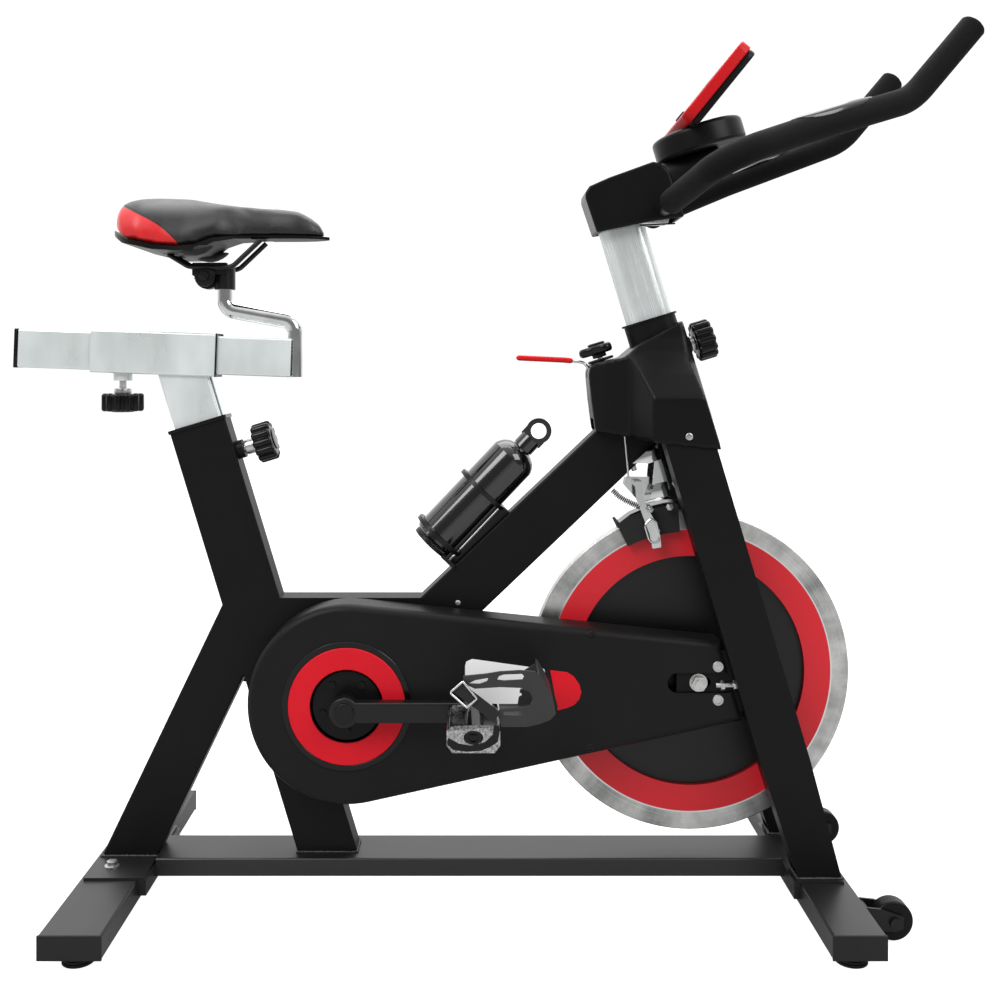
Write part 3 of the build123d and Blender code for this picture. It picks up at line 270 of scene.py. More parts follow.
# %% [markdown]
# ## Finishes
# Every material is a Principled shader fed by one of the shared groups. A number that is the same all over a
# surface, such as the coat or how strongly it mirrors, is set on the shader itself.


# %% Material recipes
def shader_of(name, **constants):
    """A new material, its tree, its shader and its object coordinates."""
    made = bpy.data.materials.new(name)
    made.use_nodes = True
    tree = made.node_tree
    shader = tree.nodes["Principled BSDF"]
    for key, value in constants.items():
        shader.inputs[key.replace("_", " ")].default_value = value
    where = wire(tree, "ShaderNodeTexCoord").outputs["Object"]
    return made, tree, shader, where


def use_group(tree, group, **inputs):
    """A shared effect placed in a material, with its own values."""
    node = tree.nodes.new("ShaderNodeGroup")
    node.node_tree = group
    for key, value in inputs.items():
        socket = node.inputs[key.replace("_", " ")]
        if isinstance(value, bpy.types.NodeSocket):
            tree.links.new(value, socket)
        else:
            socket.default_value = value
    return node.outputs


def feed(tree, shader, colour=None, roughness=None, height=None, bump=0.1, distance=0.0005):
    """Plugs varying values into the shader; height goes through a bump node."""
    if colour is not None:
        tree.links.new(colour, shader.inputs["Base Color"])
    if roughness is not None:
        tree.links.new(roughness, shader.inputs["Roughness"])
    if height is not None:
        relief = wire(tree, "ShaderNodeBump", {"Height": height, "Strength": bump, "Distance": distance})
        tree.links.new(relief.outputs[0], shader.inputs["Normal"])


def grey(level, tint=(1.0, 1.0, 1.0)):
    """A grey with a slight tint, as a colour."""
    return (level * tint[0], level * tint[1], level * tint[2], 1.0)


def skin(name, dark, light, rough, grain=900.0, bump=0.12, handling=0.3, distance=0.0004, **constants):
    """Sprayed paint, moulded plastic, rubber or leather: one colour range with a fine skin."""
    made, tree, shader, where = shader_of(name, **constants)
    effect = use_group(tree, grain_group, Vector=where, Grain_Size=grain, Dark_Colour=dark,
                       Light_Colour=light,
                       Rough_Low=rough[0], Rough_High=rough[1], Handling=handling)
    feed(tree, shader, effect["Colour"], effect["Roughness"], effect["Height"], bump, distance)
    return made


def drawn_metal(name, dark, light, rough, stretch, turn=0.0, bump=0.05, **constants):
    """Bare or plated metal with streaks; turn leans the streaks about the cross axis, in degrees."""
    constants.setdefault("Metallic", 1.0)
    made, tree, shader, where = shader_of(name, **constants)
    leaned = wire(tree, "ShaderNodeMapping", {"Vector": where,
                                              "Rotation": (0.0, math.radians(turn), 0.0)}).outputs[0]
    effect = use_group(tree, streak_group, Vector=leaned, Stretch=stretch, Dark_Colour=dark,
                       Light_Colour=light,
                       Rough_Low=rough[0], Rough_High=rough[1])
    feed(tree, shader, effect["Colour"], effect["Roughness"], effect["Height"], bump, 0.0002)
    return made


print("recipes ready")

# %% [markdown]
# The frame is powder coated: a thick satin paint that levels into a faint orange-peel. The floor bars use the
# same paint. Moulded covers have a finer, tighter skin, and rubber and felt scatter light almost evenly.

# %% Paints, plastics and rubber
frame_paint = skin("frame_paint", grey(0.0052), grey(0.0105), (0.36, 0.48), 520.0, 0.10,
                   Specular_IOR_Level=0.14)
stabilizer_paint = skin("stabilizer_paint", grey(0.006), grey(0.012, (1.0, 1.0, 1.06)), (0.36, 0.46), 520.0,
                        0.10,
                        Specular_IOR_Level=0.7)
cap_plastic = skin("cap_plastic", grey(0.016), grey(0.028), (0.5, 0.62), 1400.0, 0.2, Specular_IOR_Level=0.2)
cover_plastic = skin("cover_plastic", grey(0.0085), grey(0.0150), (0.36, 0.48), 1500.0, 0.12,
                     Specular_IOR_Level=0.14)
shroud_plastic = skin("shroud_plastic", grey(0.0045), grey(0.0090), (0.28, 0.40), 1500.0, 0.08,
                      Specular_IOR_Level=0.16)
knob_plastic = skin("knob_plastic", grey(0.0030), grey(0.0065), (0.16, 0.26), 1200.0, 0.05,
                    Specular_IOR_Level=0.3)
red_plastic = skin("red_plastic", (0.70, 0.010, 0.021, 1), (0.80, 0.017, 0.032, 1), (0.34, 0.44), 1300.0,
                   0.06, Specular_IOR_Level=0.12)
red_dip = skin("red_dip", (0.66, 0.006, 0.010, 1), (0.78, 0.014, 0.016, 1), (0.22, 0.34), 700.0, 0.10,
               Specular_IOR_Level=0.2)
foot_rubber = skin("foot_rubber", grey(0.010), grey(0.022), (0.72, 0.88), 700.0, 0.35)
belt_rubber = skin("belt_rubber", grey(0.008), grey(0.014), (0.62, 0.74), 700.0, 0.2)
brake_felt = skin("brake_felt", grey(0.012), grey(0.024), (0.85, 0.95), 420.0, 0.8, distance=0.0012)
black_steel = skin("black_steel", grey(0.0045), grey(0.0110), (0.26, 0.40), 600.0, 0.08,
                   Specular_IOR_Level=0.35)
bottle_gloss = skin("bottle_gloss", grey(0.0025), grey(0.0045), (0.10, 0.18), 300.0, 0.015, Coat_Weight=1.0,
                    Coat_Roughness=0.05)
chrome = drawn_metal("chrome", grey(0.70, (0.97, 1.0, 1.0)), grey(0.86), (0.07, 0.14), (3.0, 3.0, 3.0), 0.0,
                     0.01)
post_chrome = drawn_metal("post_chrome", grey(0.80, (0.93, 1.0, 0.98)), grey(0.97, (0.96, 1.0, 1.0)),
                          (0.14, 0.30), (46.0, 46.0, 1.2), 17.0, 0.05, Metallic=0.45)
satin_silver = drawn_metal("satin_silver", grey(0.80, (0.93, 1.0, 0.98)), grey(0.96, (0.95, 1.0, 1.0)),
                           (0.24, 0.38), (1.6, 30.0, 0.4), 0.0, 0.04, Metallic=0.42)
zinc_steel = drawn_metal("zinc_steel", grey(0.46, (1.0, 0.98, 0.93)), grey(0.74), (0.22, 0.42),
                         (9.0, 9.0, 9.0), 0.0, 0.12)
print("materials so far", len(bpy.data.materials))

# %% [markdown]
# The flywheel is one turned iron disc, painted in rings: a black middle, a wide red band, and a bare rim that
# shows its lathe marks. Mixing by radius keeps the paint edges perfectly round and free of extra parts.

# %% Flywheel paint
HUB = Vector((0.295, 0.0, 0.307))
CRANK = Vector((-0.1775, 0.0, 0.276))


def over(tree, factor, below, above):
    """One colour over another, by a mask."""
    return wire(tree, "ShaderNodeMix", {"Factor": factor, 6: below, 7: above}, data_type="RGBA").outputs[2]


def step_at(tree, radius, edge, soft=0.0004):
    """A mask that turns on outside a radius."""
    return wire(tree, "ShaderNodeMapRange", {"Value": radius, "From Min": edge - soft,
                                             "From Max": edge + soft}).outputs[0]


flywheel_iron, tree, shader, where = shader_of("flywheel_iron", Specular_IOR_Level=0.5)
polar = use_group(tree, polar_group, Vector=where, Centre=tuple(HUB))
red_start = step_at(tree, polar["Radius"], 0.1600)
bare_start = step_at(tree, polar["Radius"], 0.1967)
pale_line = math_node(tree, "MULTIPLY", bare_start,
                      math_node(tree, "SUBTRACT", 1.0, step_at(tree, polar["Radius"], 0.1985)))
rim_tone = wire(tree, "ShaderNodeMapRange", {
    "Value": math_node(tree, "ADD", math_node(tree, "MULTIPLY", polar["Sweep Noise"], 0.75),
                       math_node(tree, "MULTIPLY", polar["Ring Noise"], 0.25)),
    "From Min": 0.36, "From Max": 0.62}).outputs[0]
rim_colour = over(tree, rim_tone, grey(0.28, (0.94, 1.0, 0.97)), grey(0.80, (1.0, 1.0, 0.98)))
painted = over(tree, red_start, grey(0.0022), (0.76, 0.012, 0.024, 1))
painted = over(tree, bare_start, painted, rim_colour)
painted = over(tree, pale_line, painted, grey(0.88))
iron_rough = wire(tree, "ShaderNodeMix", {"Factor": bare_start, 2: 0.42, 3: 0.30},
                  data_type="FLOAT").outputs[0]
feed(tree, shader, painted, iron_rough, math_node(tree, "MULTIPLY", polar["Ring Noise"], bare_start), 0.18,
     0.0002)
tree.links.new(math_node(tree, "MULTIPLY", bare_start, 0.96), shader.inputs["Metallic"])
print("flywheel rings at 160, 196.7 and 222 mm")

# %% [markdown]
# ## Dress the frame
# The engineering pieces whose shapes are already right stay as they are and only take a finish.


# %% Assign finishes to frame nodes
def dress(finish, *names):
    """Gives a finish to every material slot of these frame nodes."""
    for name in names:
        if not nodes[name].material_slots:
            nodes[name].data.materials.append(finish)
        for material_slot in nodes[name].material_slots:
            material_slot.material = finish


dress(frame_paint, "seat_tube", "rear_leg", "top_tube", "down_tube", "bottom_bracket", "head_tube",
      "fork_legs")
dress(stabilizer_paint, "stabilizers", "main_beam", "stabilizer_plates")
dress(cap_plastic, "stabilizer_end_caps")
dress(knob_plastic, "post_bushes")
dress(foot_rubber, "rubber_feet")
dress(cover_plastic, "guard_outer_cover", "guard_inner_cover")
dress(red_plastic, "guard_trim_ring")
dress(zinc_steel, "frame_bolts", "flywheel_axle", "bearings", "crank_axle")
dress(chrome, "brake_bracket", "brake_arm")
dress(belt_rubber, "drive_belt")
dress(flywheel_iron, "flywheel")
dress(shroud_plastic, "flywheel_pulley", "crank_pulley", "head_shroud_right", "head_shroud_left",
      "bar_housing",
      "console_mount", "console", "console_button", "saddle_base", "transport_wheel_right",
      "transport_wheel_left")
dress(black_steel, "crank_arms", "handlebar", "wheel_brackets", "bottle_cage", "saddle_rails", "saddle_clamp",
      "toe_cage_right", "toe_cage_left")
dress(satin_silver, "seat_post", "slider_sleeve", "saddle_slider")
dress(post_chrome, "bar_post")
dress(chrome, "saddle_stem", "pedal_right", "pedal_left")
dress(brake_felt, "brake_pad")
dress(knob_plastic, "tension_knob", "seat_pull_knob", "bar_pull_knob", "slider_knob")
dress(red_dip, "brake_lever")
dress(bottle_gloss, "bottle", "bottle_cap")
dress(foot_rubber, "foam_grips", "saddle_cushion")
print("frame nodes dressed")

# %% [markdown]
# ## Tools for new pieces
# Some pieces need a shape the frame doesn't carry: a soft saddle, bent wire, ribs, stitches. A few helpers cover
# how they are all made: an outline pushed to a thickness, a profile turned about an axis, and a mesh that is
# settled on the body it moves with, with the frame pieces it stands for hidden.

# %% Mesh helpers
MM = 0.001
LEAN = math.radians(17.0)
UP = Vector((-math.sin(LEAN), 0.0, math.cos(LEAN)))
AHEAD = Vector((math.cos(LEAN), 0.0, math.sin(LEAN)))
ACROSS = Vector((0.0, 1.0, 0.0))


def put(name, mesh, finish):
    """A new object in the scene that wears one finish."""
    made = bpy.data.objects.new(name, mesh)
    bpy.context.scene.collection.objects.link(made)
    mesh.materials.clear()
    mesh.materials.append(finish)
    return made


def mesh_from(bm, name, smooth_angle=35.0, merge=1e-5):
    """Closes a bmesh into a mesh: doubles merged, faces outward, smooth except at real edges."""
    bmesh.ops.remove_doubles(bm, verts=bm.verts, dist=merge)
    bmesh.ops.recalc_face_normals(bm, faces=bm.faces)
    mesh = bpy.data.meshes.new(name)
    bm.to_mesh(mesh)
    bm.free()
    mesh.shade_smooth()
    mesh.set_sharp_from_angle(angle=math.radians(smooth_angle))
    return mesh


def bake(obj):
    """Turns an object's modifiers into its plain mesh."""
    bpy.context.view_layer.update()
    graph = bpy.context.evaluated_depsgraph_get()
    final = bpy.data.meshes.new_from_object(obj.evaluated_get(graph), preserve_all_data_layers=True,
                                            depsgraph=graph)
    obj.modifiers.clear()
    old = obj.data
    obj.data = final
    bpy.data.meshes.remove(old)
    return obj


def settle(obj, body, slot_name, *stands_for):
    """Puts a finished piece on its body and hides the frame nodes it replaces; slot_name is not used."""
    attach(obj, body)
    if stands_for:
        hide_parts(*stands_for)
    return obj


def piece_from(bm, name, finish, *place):
    """Turns a finished bmesh into a settled piece of the same name."""
    return settle(put(name, mesh_from(bm, name), finish), *place)


def frame_of(axis):
    """Two directions square to an axis, and the axis, all of unit length."""
    axis = Vector(axis).normalized()
    first = axis.cross(ACROSS)
    if first.length < 1e-4:
        first = Vector((1.0, 0.0, 0.0))
    first.normalize()
    return first, axis.cross(first), axis


def turn_profile(bm, origin, axis, profile, sides=64, lobes=0, depth=0.0):
    """A profile of (radius, height) turned about an axis; lobes and depth wave its radius."""
    first, second, along = frame_of(axis)
    rings = []
    for radius, height in profile:
        ring = []
        for k in range(sides):
            a = 2 * math.pi * k / sides
            wave = 1.0 - depth * (0.5 - 0.5 * math.cos(lobes * a)) if lobes else 1.0
            spoke = (first * math.cos(a) + second * math.sin(a)) * radius * wave
            ring.append(bm.verts.new(Vector(origin) + along * height + spoke))
        rings.append(ring)
    for low, high in zip(rings, rings[1:]):
        for k in range(sides):
            bm.faces.new((low[k], low[(k + 1) % sides], high[(k + 1) % sides], high[k]))
    bm.faces.new(list(reversed(rings[0])))
    bm.faces.new(rings[-1])


def rounded_profile(radius, start, end, edge, steps=5, inner=0.0):
    """(radius, height) pairs of a plain disc with rounded rims at both ends."""
    points = [(max(inner, 1e-5), start)]
    for k in range(steps + 1):
        a = math.pi / 2 * k / steps
        points.append((radius - edge + edge * math.sin(a), start + edge - edge * math.cos(a)))
    for k in range(steps + 1):
        a = math.pi / 2 * k / steps
        points.append((radius - edge + edge * math.cos(a), end - edge + edge * math.sin(a)))
    return points + [(max(inner, 1e-5), end)]


def push_outline(bm, outline, near, far):
    """A side outline of (x, z) in millimetres given a thickness between two Y values."""
    rows = [[bm.verts.new((x * MM, y * MM, z * MM)) for x, z in outline] for y in (near, far)]
    count = len(outline)
    for k in range(count):
        bm.faces.new((rows[0][k], rows[0][(k + 1) % count], rows[1][(k + 1) % count], rows[1][k]))
    bm.faces.new(list(reversed(rows[0])))
    bm.faces.new(rows[1])


def add_bevel(obj, width, segments=3, angle=30.0):
    """A bevel on the sharp edges only."""
    modifier = obj.modifiers.new("soft_edges", "BEVEL")
    modifier.width = width
    modifier.segments = segments
    modifier.limit_method = "ANGLE"
    modifier.angle_limit = math.radians(angle)
    return obj


def bent_path(points, radii, step=0.004):
    """Points along straight runs joined by tangent arcs, in metres."""
    points = [Vector(p) * MM for p in points]
    line = [points[0]]
    for before, corner, after, radius in zip(points, points[1:], points[2:], radii):
        to_before, to_after = (before - corner).normalized(), (after - corner).normalized()
        turn = math.pi - to_before.angle(to_after)
        reach = radius * MM * math.tan(turn / 2)
        start, end = corner + to_before * reach, corner + to_after * reach
        centre = corner + (to_before + to_after).normalized() * (radius * MM / math.cos(turn / 2))
        count = max(2, round(turn * radius * MM / step))
        for k in range(count + 1):
            mixed = (start - centre).lerp(end - centre, k / count)
            line.append(centre + mixed.normalized() * radius * MM)
    return line + [points[-1]]


print("mesh helpers ready")

# %% [markdown]
# Geometry Nodes do whatever repeats or follows a path. Each tree below starts from plain points or an edge
# chain, so the same tree serves many pieces with different sizes. It ends by turning its copies into real
# faces and setting a material, and the result is then kept as an ordinary mesh.

# %% Geometry Nodes helpers
GEOMETRY, OBJECT = "NodeSocketGeometry", "NodeSocketObject"
MATERIAL, INT = "NodeSocketMaterial", "NodeSocketInt"


def end_tree(group, start, end, shape):
    """Closes a tree: copies made real, smooth shading, and the finish it was given."""
    real = wire(group, "GeometryNodeRealizeInstances", {"Geometry": shape}).outputs[0]
    smooth = wire(group, "GeometryNodeSetShadeSmooth", {0: real}).outputs[0]
    done = wire(group, "GeometryNodeSetMaterial", {"Geometry": smooth,
                                                   "Material": start.outputs["Finish"]}).outputs[0]
    group.links.new(done, end.inputs[0])


def run_tree(name, base, group, finish, smooth_angle=40.0, **values):
    """Runs a tree on a base object, keeps the result as a plain mesh and removes the modifier."""
    modifier = base.modifiers.new("build", "NODES")
    modifier.node_group = group
    values["Finish"] = finish
    for item in group.interface.items_tree:
        if item.item_type == "SOCKET" and item.in_out == "INPUT" and item.name.replace(" ", "_") in values:
            modifier[item.identifier] = values[item.name.replace(" ", "_")]
    bake(base)
    base.name = name
    base.data.name = name
    base.data.set_sharp_from_angle(angle=math.radians(smooth_angle))
    return base


def chain(name, line, closed=False):
    """A row of points joined by edges, as a base for a tree that follows a path."""
    mesh = bpy.data.meshes.new(name)
    edges = [(k, k + 1) for k in range(len(line) - 1)] + ([(len(line) - 1, 0)] if closed else [])
    mesh.from_pydata([tuple(p) for p in line], edges, [])
    made = bpy.data.objects.new(name, mesh)
    bpy.context.scene.collection.objects.link(made)
    return made


def chains(name, lines, closed=False):
    """Several rows of points in one base object."""
    mesh = bpy.data.meshes.new(name)
    points, edges = [], []
    for line in lines:
        first = len(points)
        points += [tuple(p) for p in line]
        edges += [(first + k, first + k + 1) for k in range(len(line) - 1)]
        if closed:
            edges.append((first + len(line) - 1, first))
    mesh.from_pydata(points, edges, [])
    made = bpy.data.objects.new(name, mesh)
    bpy.context.scene.collection.objects.link(made)
    return made


def dots(name, places):
    """Loose points, each with the direction that a copy on it should face."""
    mesh = bpy.data.meshes.new(name)
    mesh.from_pydata([tuple(place) for place, _ in places], [], [])
    facing = mesh.attributes.new("facing", "FLOAT_VECTOR", "POINT")
    for k, (_, direction) in enumerate(places):
        facing.data[k].vector = Vector(direction).normalized()
    made = bpy.data.objects.new(name, mesh)
    bpy.context.scene.collection.objects.link(made)
    return made


tube_tree, tube_start, tube_end = new_group(
    "tube_on_path", "GeometryNodeTree",
    [("Path", GEOMETRY, None), ("Radius", FLOAT, 0.004), ("End Round", FLOAT, 0.001), ("Step", FLOAT, 0.003),
     ("Sides", INT, 16), ("Finish", MATERIAL, None)], [("Geometry", GEOMETRY)])
tube_curve = wire(tube_tree, "GeometryNodeMeshToCurve", {0: tube_start.outputs["Path"]}).outputs[0]
tube_even = wire(tube_tree, "GeometryNodeResampleCurve", {"Curve": tube_curve,
                                                          "Length": tube_start.outputs["Step"]},
                 mode="LENGTH").outputs[0]
tube_along = wire(tube_tree, "GeometryNodeSplineParameter").outputs["Length"]
tube_total = wire(tube_tree, "GeometryNodeSplineLength").outputs["Length"]
tube_left = math_node(tube_tree, "MINIMUM", tube_along, math_node(tube_tree, "SUBTRACT", tube_total,
                                                                  tube_along))
tube_share = wire(tube_tree, "ShaderNodeMath", {0: math_node(
    tube_tree, "DIVIDE", tube_left, tube_start.outputs["End Round"])}, operation="ADD", use_clamp=True)
tube_share.inputs[1].default_value = 0.0
tube_lack = math_node(tube_tree, "SUBTRACT", 1.0, tube_share.outputs[0])
tube_round = math_node(tube_tree, "SQRT", math_node(
    tube_tree, "SUBTRACT", 1.0002, math_node(tube_tree, "MULTIPLY", tube_lack, tube_lack)))
tube_radius = math_node(tube_tree, "MULTIPLY", tube_round, tube_start.outputs["Radius"])
tube_ring = wire(tube_tree, "GeometryNodeCurvePrimitiveCircle", {
    "Resolution": tube_start.outputs["Sides"], "Radius": 1.0}).outputs[0]
tube_skin = wire(tube_tree, "GeometryNodeCurveToMesh", {
    "Curve": tube_even, "Profile Curve": tube_ring, "Scale": tube_radius, "Fill Caps": True}).outputs[0]
end_tree(tube_tree, tube_start, tube_end, tube_skin)

copy_tree, copy_start, copy_end = new_group(
    "copies_on_points", "GeometryNodeTree",
    [("Points", GEOMETRY, None), ("Pattern", OBJECT, None), ("Size", FLOAT, 1.0), ("Finish", MATERIAL, None)],
    [("Geometry", GEOMETRY)])
copy_facing = wire(copy_tree, "GeometryNodeInputNamedAttribute", {"Name": "facing"},
                   data_type="FLOAT_VECTOR").outputs[0]
copy_turn = wire(copy_tree, "FunctionNodeAlignRotationToVector", {"Vector": copy_facing}, axis="Z").outputs[0]
copy_shape = wire(copy_tree, "GeometryNodeObjectInfo", {"Object": copy_start.outputs["Pattern"]}).outputs["Geometry"]
copy_dots = wire(copy_tree, "GeometryNodeMeshToPoints", {"Mesh": copy_start.outputs["Points"]}).outputs[0]
copy_placed = wire(copy_tree, "GeometryNodeInstanceOnPoints", {
    "Points": copy_dots, "Instance": copy_shape, "Rotation": copy_turn,
    "Scale": copy_start.outputs["Size"]}).outputs[0]
end_tree(copy_tree, copy_start, copy_end, copy_placed)

bead_tree, bead_start, bead_end = new_group(
    "beads_on_path", "GeometryNodeTree",
    [("Path", GEOMETRY, None), ("Spacing", FLOAT, 0.003), ("Bead Size", VECTOR, (0.003, 0.002, 0.002)),
     ("Unevenness", FLOAT, 0.2), ("Seed", INT, 7), ("Finish", MATERIAL, None)], [("Geometry", GEOMETRY)])
bead_curve = wire(bead_tree, "GeometryNodeMeshToCurve", {0: bead_start.outputs["Path"]}).outputs[0]
bead_points = wire(bead_tree, "GeometryNodeCurveToPoints", {
    "Curve": bead_curve, "Length": bead_start.outputs["Spacing"]}, mode="LENGTH")
bead_ball = wire(bead_tree, "GeometryNodeMeshIcoSphere", {"Radius": 1.0, "Subdivisions": 2}).outputs[0]
bead_wobble = wire(bead_tree, "FunctionNodeRandomValue", {
    "Min": math_node(bead_tree, "SUBTRACT", 1.0, bead_start.outputs["Unevenness"]),
    "Max": math_node(bead_tree, "ADD", 1.0, bead_start.outputs["Unevenness"]),
    "Seed": bead_start.outputs["Seed"]}, data_type="FLOAT").outputs[1]
bead_scale = wire(bead_tree, "ShaderNodeVectorMath", {0: bead_start.outputs["Bead Size"],
                                                      "Scale": bead_wobble},
                  operation="SCALE").outputs[0]
bead_turn = wire(bead_tree, "FunctionNodeAlignRotationToVector", {"Vector": bead_points.outputs["Tangent"]},
                 axis="X").outputs[0]
bead_placed = wire(bead_tree, "GeometryNodeInstanceOnPoints", {
    "Points": bead_points.outputs["Points"], "Instance": bead_ball, "Rotation": bead_turn,
    "Scale": bead_scale}).outputs[0]
end_tree(bead_tree, bead_start, bead_end, bead_placed)
print("trees", [g.name for g in (tube_tree, copy_tree, bead_tree)])

# %% [markdown]
# ## Saddle cushion
# The real cushion is foam under stretched synthetic leather: wide lobes at the back, a narrow nose, a domed
# top that rolls over into the sides. A block with bevels looks hard, so a slightly small loft is inflated with
# the cloth solver, which swells the broad lobes more than the nose, as real padding does. A fixed number of
# frames and no gravity give the same cushion every time. Remeshing first gives the solver even squares.

# %% Loft and inflate the cushion
SADDLE_TOP = [(-500, 926), (-497, 944), (-493, 955), (-484, 964.5), (-467, 967.5), (-440, 967), (-400, 963),
              (-366, 957.5),
              (-330, 953.5), (-300, 952), (-262, 953.5), (-250, 953), (-235, 946), (-221, 936.5),
              (-211.5, 921), (-209, 914)]
SADDLE_LOW = [(-500, 924), (-478, 904.5), (-436, 895), (-408, 893.5), (-385, 897.5), (-365, 908.5),
              (-340, 913),
              (-295, 914.5), (-209, 914)]
SADDLE_HALF = [(-500, 30), (-497, 50), (-494, 62), (-484, 82), (-458, 96), (-430, 92), (-397, 78), (-370, 58),
               (-348, 42), (-318, 31), (-288, 26), (-252, 23.5), (-232, 20), (-219, 13), (-209, 4)]


def along(table, x):
    """A value read smoothly from a table of (x, value)."""
    for (x0, v0), (x1, v1) in zip(table, table[1:]):
        if x <= x1:
            t = max(0.0, (x - x0) / (x1 - x0))
            return v0 + (v1 - v0) * t
    return table[-1][1]


def cushion_ring(x, shrink, sides=28):
    """One cross-section of the cushion: flat below, rolled at the edge, crowned on top."""
    half, low, top = along(SADDLE_HALF, x) - shrink, along(SADDLE_LOW, x), along(SADDLE_TOP, x) - shrink
    half, top = max(half, 1.0), max(top, low + 1.0)
    crown = 0.80 + 0.10 * min(1.0, half / 90)
    ring = []
    for k in range(sides):
        a = math.pi * k / (sides - 1)
        y = half * math.copysign(abs(math.cos(a)) ** crown, math.cos(a))
        ring.append((x, y, low + (top - low) * math.sin(a) ** 0.72))
    return ring


def cushion_loft(name, shrink):
    """The closed loft through all its cross-sections."""
    bm = bmesh.new()
    rings = [[bm.verts.new(Vector(p) * MM) for p in cushion_ring(-499 + 289 * k / 60,
                                                                 shrink)] for k in range(61)]
    for near, far in zip(rings, rings[1:]):
        for k in range(len(near)):
            n = (k + 1) % len(near)
            bm.faces.new((near[k], near[n], far[n], far[k]))
    bm.faces.new(rings[0])
    bm.faces.new(list(reversed(rings[-1])))
    return mesh_from(bm, name, 60.0)


def keep_near(mesh, rest, cap):
    """Limits how far each point may have moved from its rest place."""
    for vertex, home in zip(mesh.vertices, rest):
        moved = vertex.co - home
        if moved.length > cap:
            vertex.co = home + moved.normalized() * cap


saddle_leather, tree, shader, where = shader_of("saddle_leather", Specular_IOR_Level=0.55, Sheen_Weight=0.10,
                                                Sheen_Roughness=0.35, Coat_Weight=0.14, Coat_Roughness=0.32)
leather_cells = wire(tree, "ShaderNodeTexVoronoi", {"Vector": where, "Scale": 780.0},
                     feature="DISTANCE_TO_EDGE").outputs[0]
leather_folds = wire(tree, "ShaderNodeTexNoise", {"Vector": where, "Scale": 90.0, "Detail": 3.0}).outputs[0]
leather_height = math_node(tree, "ADD", math_node(tree, "MULTIPLY", leather_cells, 2.2),
                           math_node(tree, "MULTIPLY", leather_folds, 0.25))
leather_skin = use_group(tree, grain_group, Vector=where, Grain_Size=620.0, Dark_Colour=grey(0.0045),
                         Light_Colour=grey(0.0105), Rough_Low=0.30, Rough_High=0.42, Handling=0.5)
panel_edge = wire(tree, "ShaderNodeAttribute", attribute_name="panel_edge").outputs["Fac"]
panel_mask = wire(tree, "ShaderNodeMapRange", {"Value": panel_edge, "From Min": -0.0002,
                                               "From Max": 0.0003}).outputs[0]
seam_near = math_node(tree, "ABSOLUTE", panel_edge)
seam_groove = wire(tree, "ShaderNodeMapRange", {"Value": seam_near, "From Min": 0.0,
                                                "From Max": 0.0014}).outputs[0]
panel_red = over(tree, leather_folds, (0.66, 0.006, 0.009, 1), (0.80, 0.013, 0.016, 1))
saddle_colour = over(tree, panel_mask, leather_skin["Colour"], panel_red)
saddle_colour = over(tree, seam_groove, grey(0.003), saddle_colour)
feed(tree, shader, saddle_colour, leather_skin["Roughness"],
     math_node(tree, "MULTIPLY", leather_height, seam_groove), 0.22, 0.0006)

cushion = put("saddle_cushion_padded", cushion_loft("saddle_cushion_padded", 3.0), saddle_leather)
cushion_remesh = cushion.modifiers.new("even", "REMESH")
cushion_remesh.mode = "VOXEL"
cushion_remesh.voxel_size = 0.0045
bake(cushion)
cushion_rest = [v.co.copy() for v in cushion.data.vertices]
cloth = cushion.modifiers.new("inflate", "CLOTH")
cloth.settings.use_pressure = True
cloth.settings.uniform_pressure_force = 4.0
cloth.settings.effector_weights.gravity = 0.0
cloth.settings.mass = 0.3
cloth.settings.tension_stiffness = 20.0
cloth.settings.compression_stiffness = 20.0
cloth.settings.bending_stiffness = 0.6
cloth.settings.quality = 6
for frame_number in range(1, 21):
    bpy.context.scene.frame_set(frame_number)
bake(cushion)
bpy.context.scene.frame_set(1)
keep_near(cushion.data, cushion_rest, 0.0055)
for vertex in cushion.data.vertices:
    if vertex.co.z < cushion_rest[vertex.index].z and vertex.co.z < 0.93:
        vertex.co.z = max(vertex.co.z, along(SADDLE_LOW, vertex.co.x / MM) * MM)
cushion_smooth = cushion.modifiers.new("ease", "SMOOTH")
cushion_smooth.factor = 0.5
cushion_smooth.iterations = 5
cushion_fine = cushion.modifiers.new("fine", "SUBSURF")
cushion_fine.levels = 1
cushion_fine.render_levels = 1
bake(cushion)
cushion.data.shade_smooth()
print("cushion faces", len(cushion.data.polygons))

# %% [markdown]
# ### Red side panels and their stitches
# Each rear lobe has a red panel let into the black cover, with a seam along its curved front edge. The seam is
# drawn once as a curve in the side view. Every point of the cushion stores its distance from that curve, so the
# colour changes on a crisp line whatever the mesh, and the stitches are laid along the same curve on the surface.

# %% Panel edge and stitches
PANEL_CURVE = [Vector((x, z)) * MM for x, z in (
    (-505, 962), (-494, 955.5), (-481.7, 949), (-468, 942.5), (-454.9, 936), (-441, 929), (-428.1, 921.5),
    (-419.5, 914.5), (-412.1, 907.5), (-406, 900.5), (-401, 893.5), (-397, 886), (-394, 878))]


def panel_distance(x, z):
    """Signed distance from the seam curve in the side view, positive on the red side."""
    here, best, side = Vector((x, z)), 1.0, -1.0
    for a, b in zip(PANEL_CURVE, PANEL_CURVE[1:]):
        run = b - a
        t = min(1.0, max(0.0, (here - a).dot(run) / run.length_squared))
        gap = (here - (a + run * t)).length
        if gap < best:
            best = gap
            side = 1.0 if (run.x * (here - a).y - run.y * (here - a).x) < 0 else -1.0
    return best * side


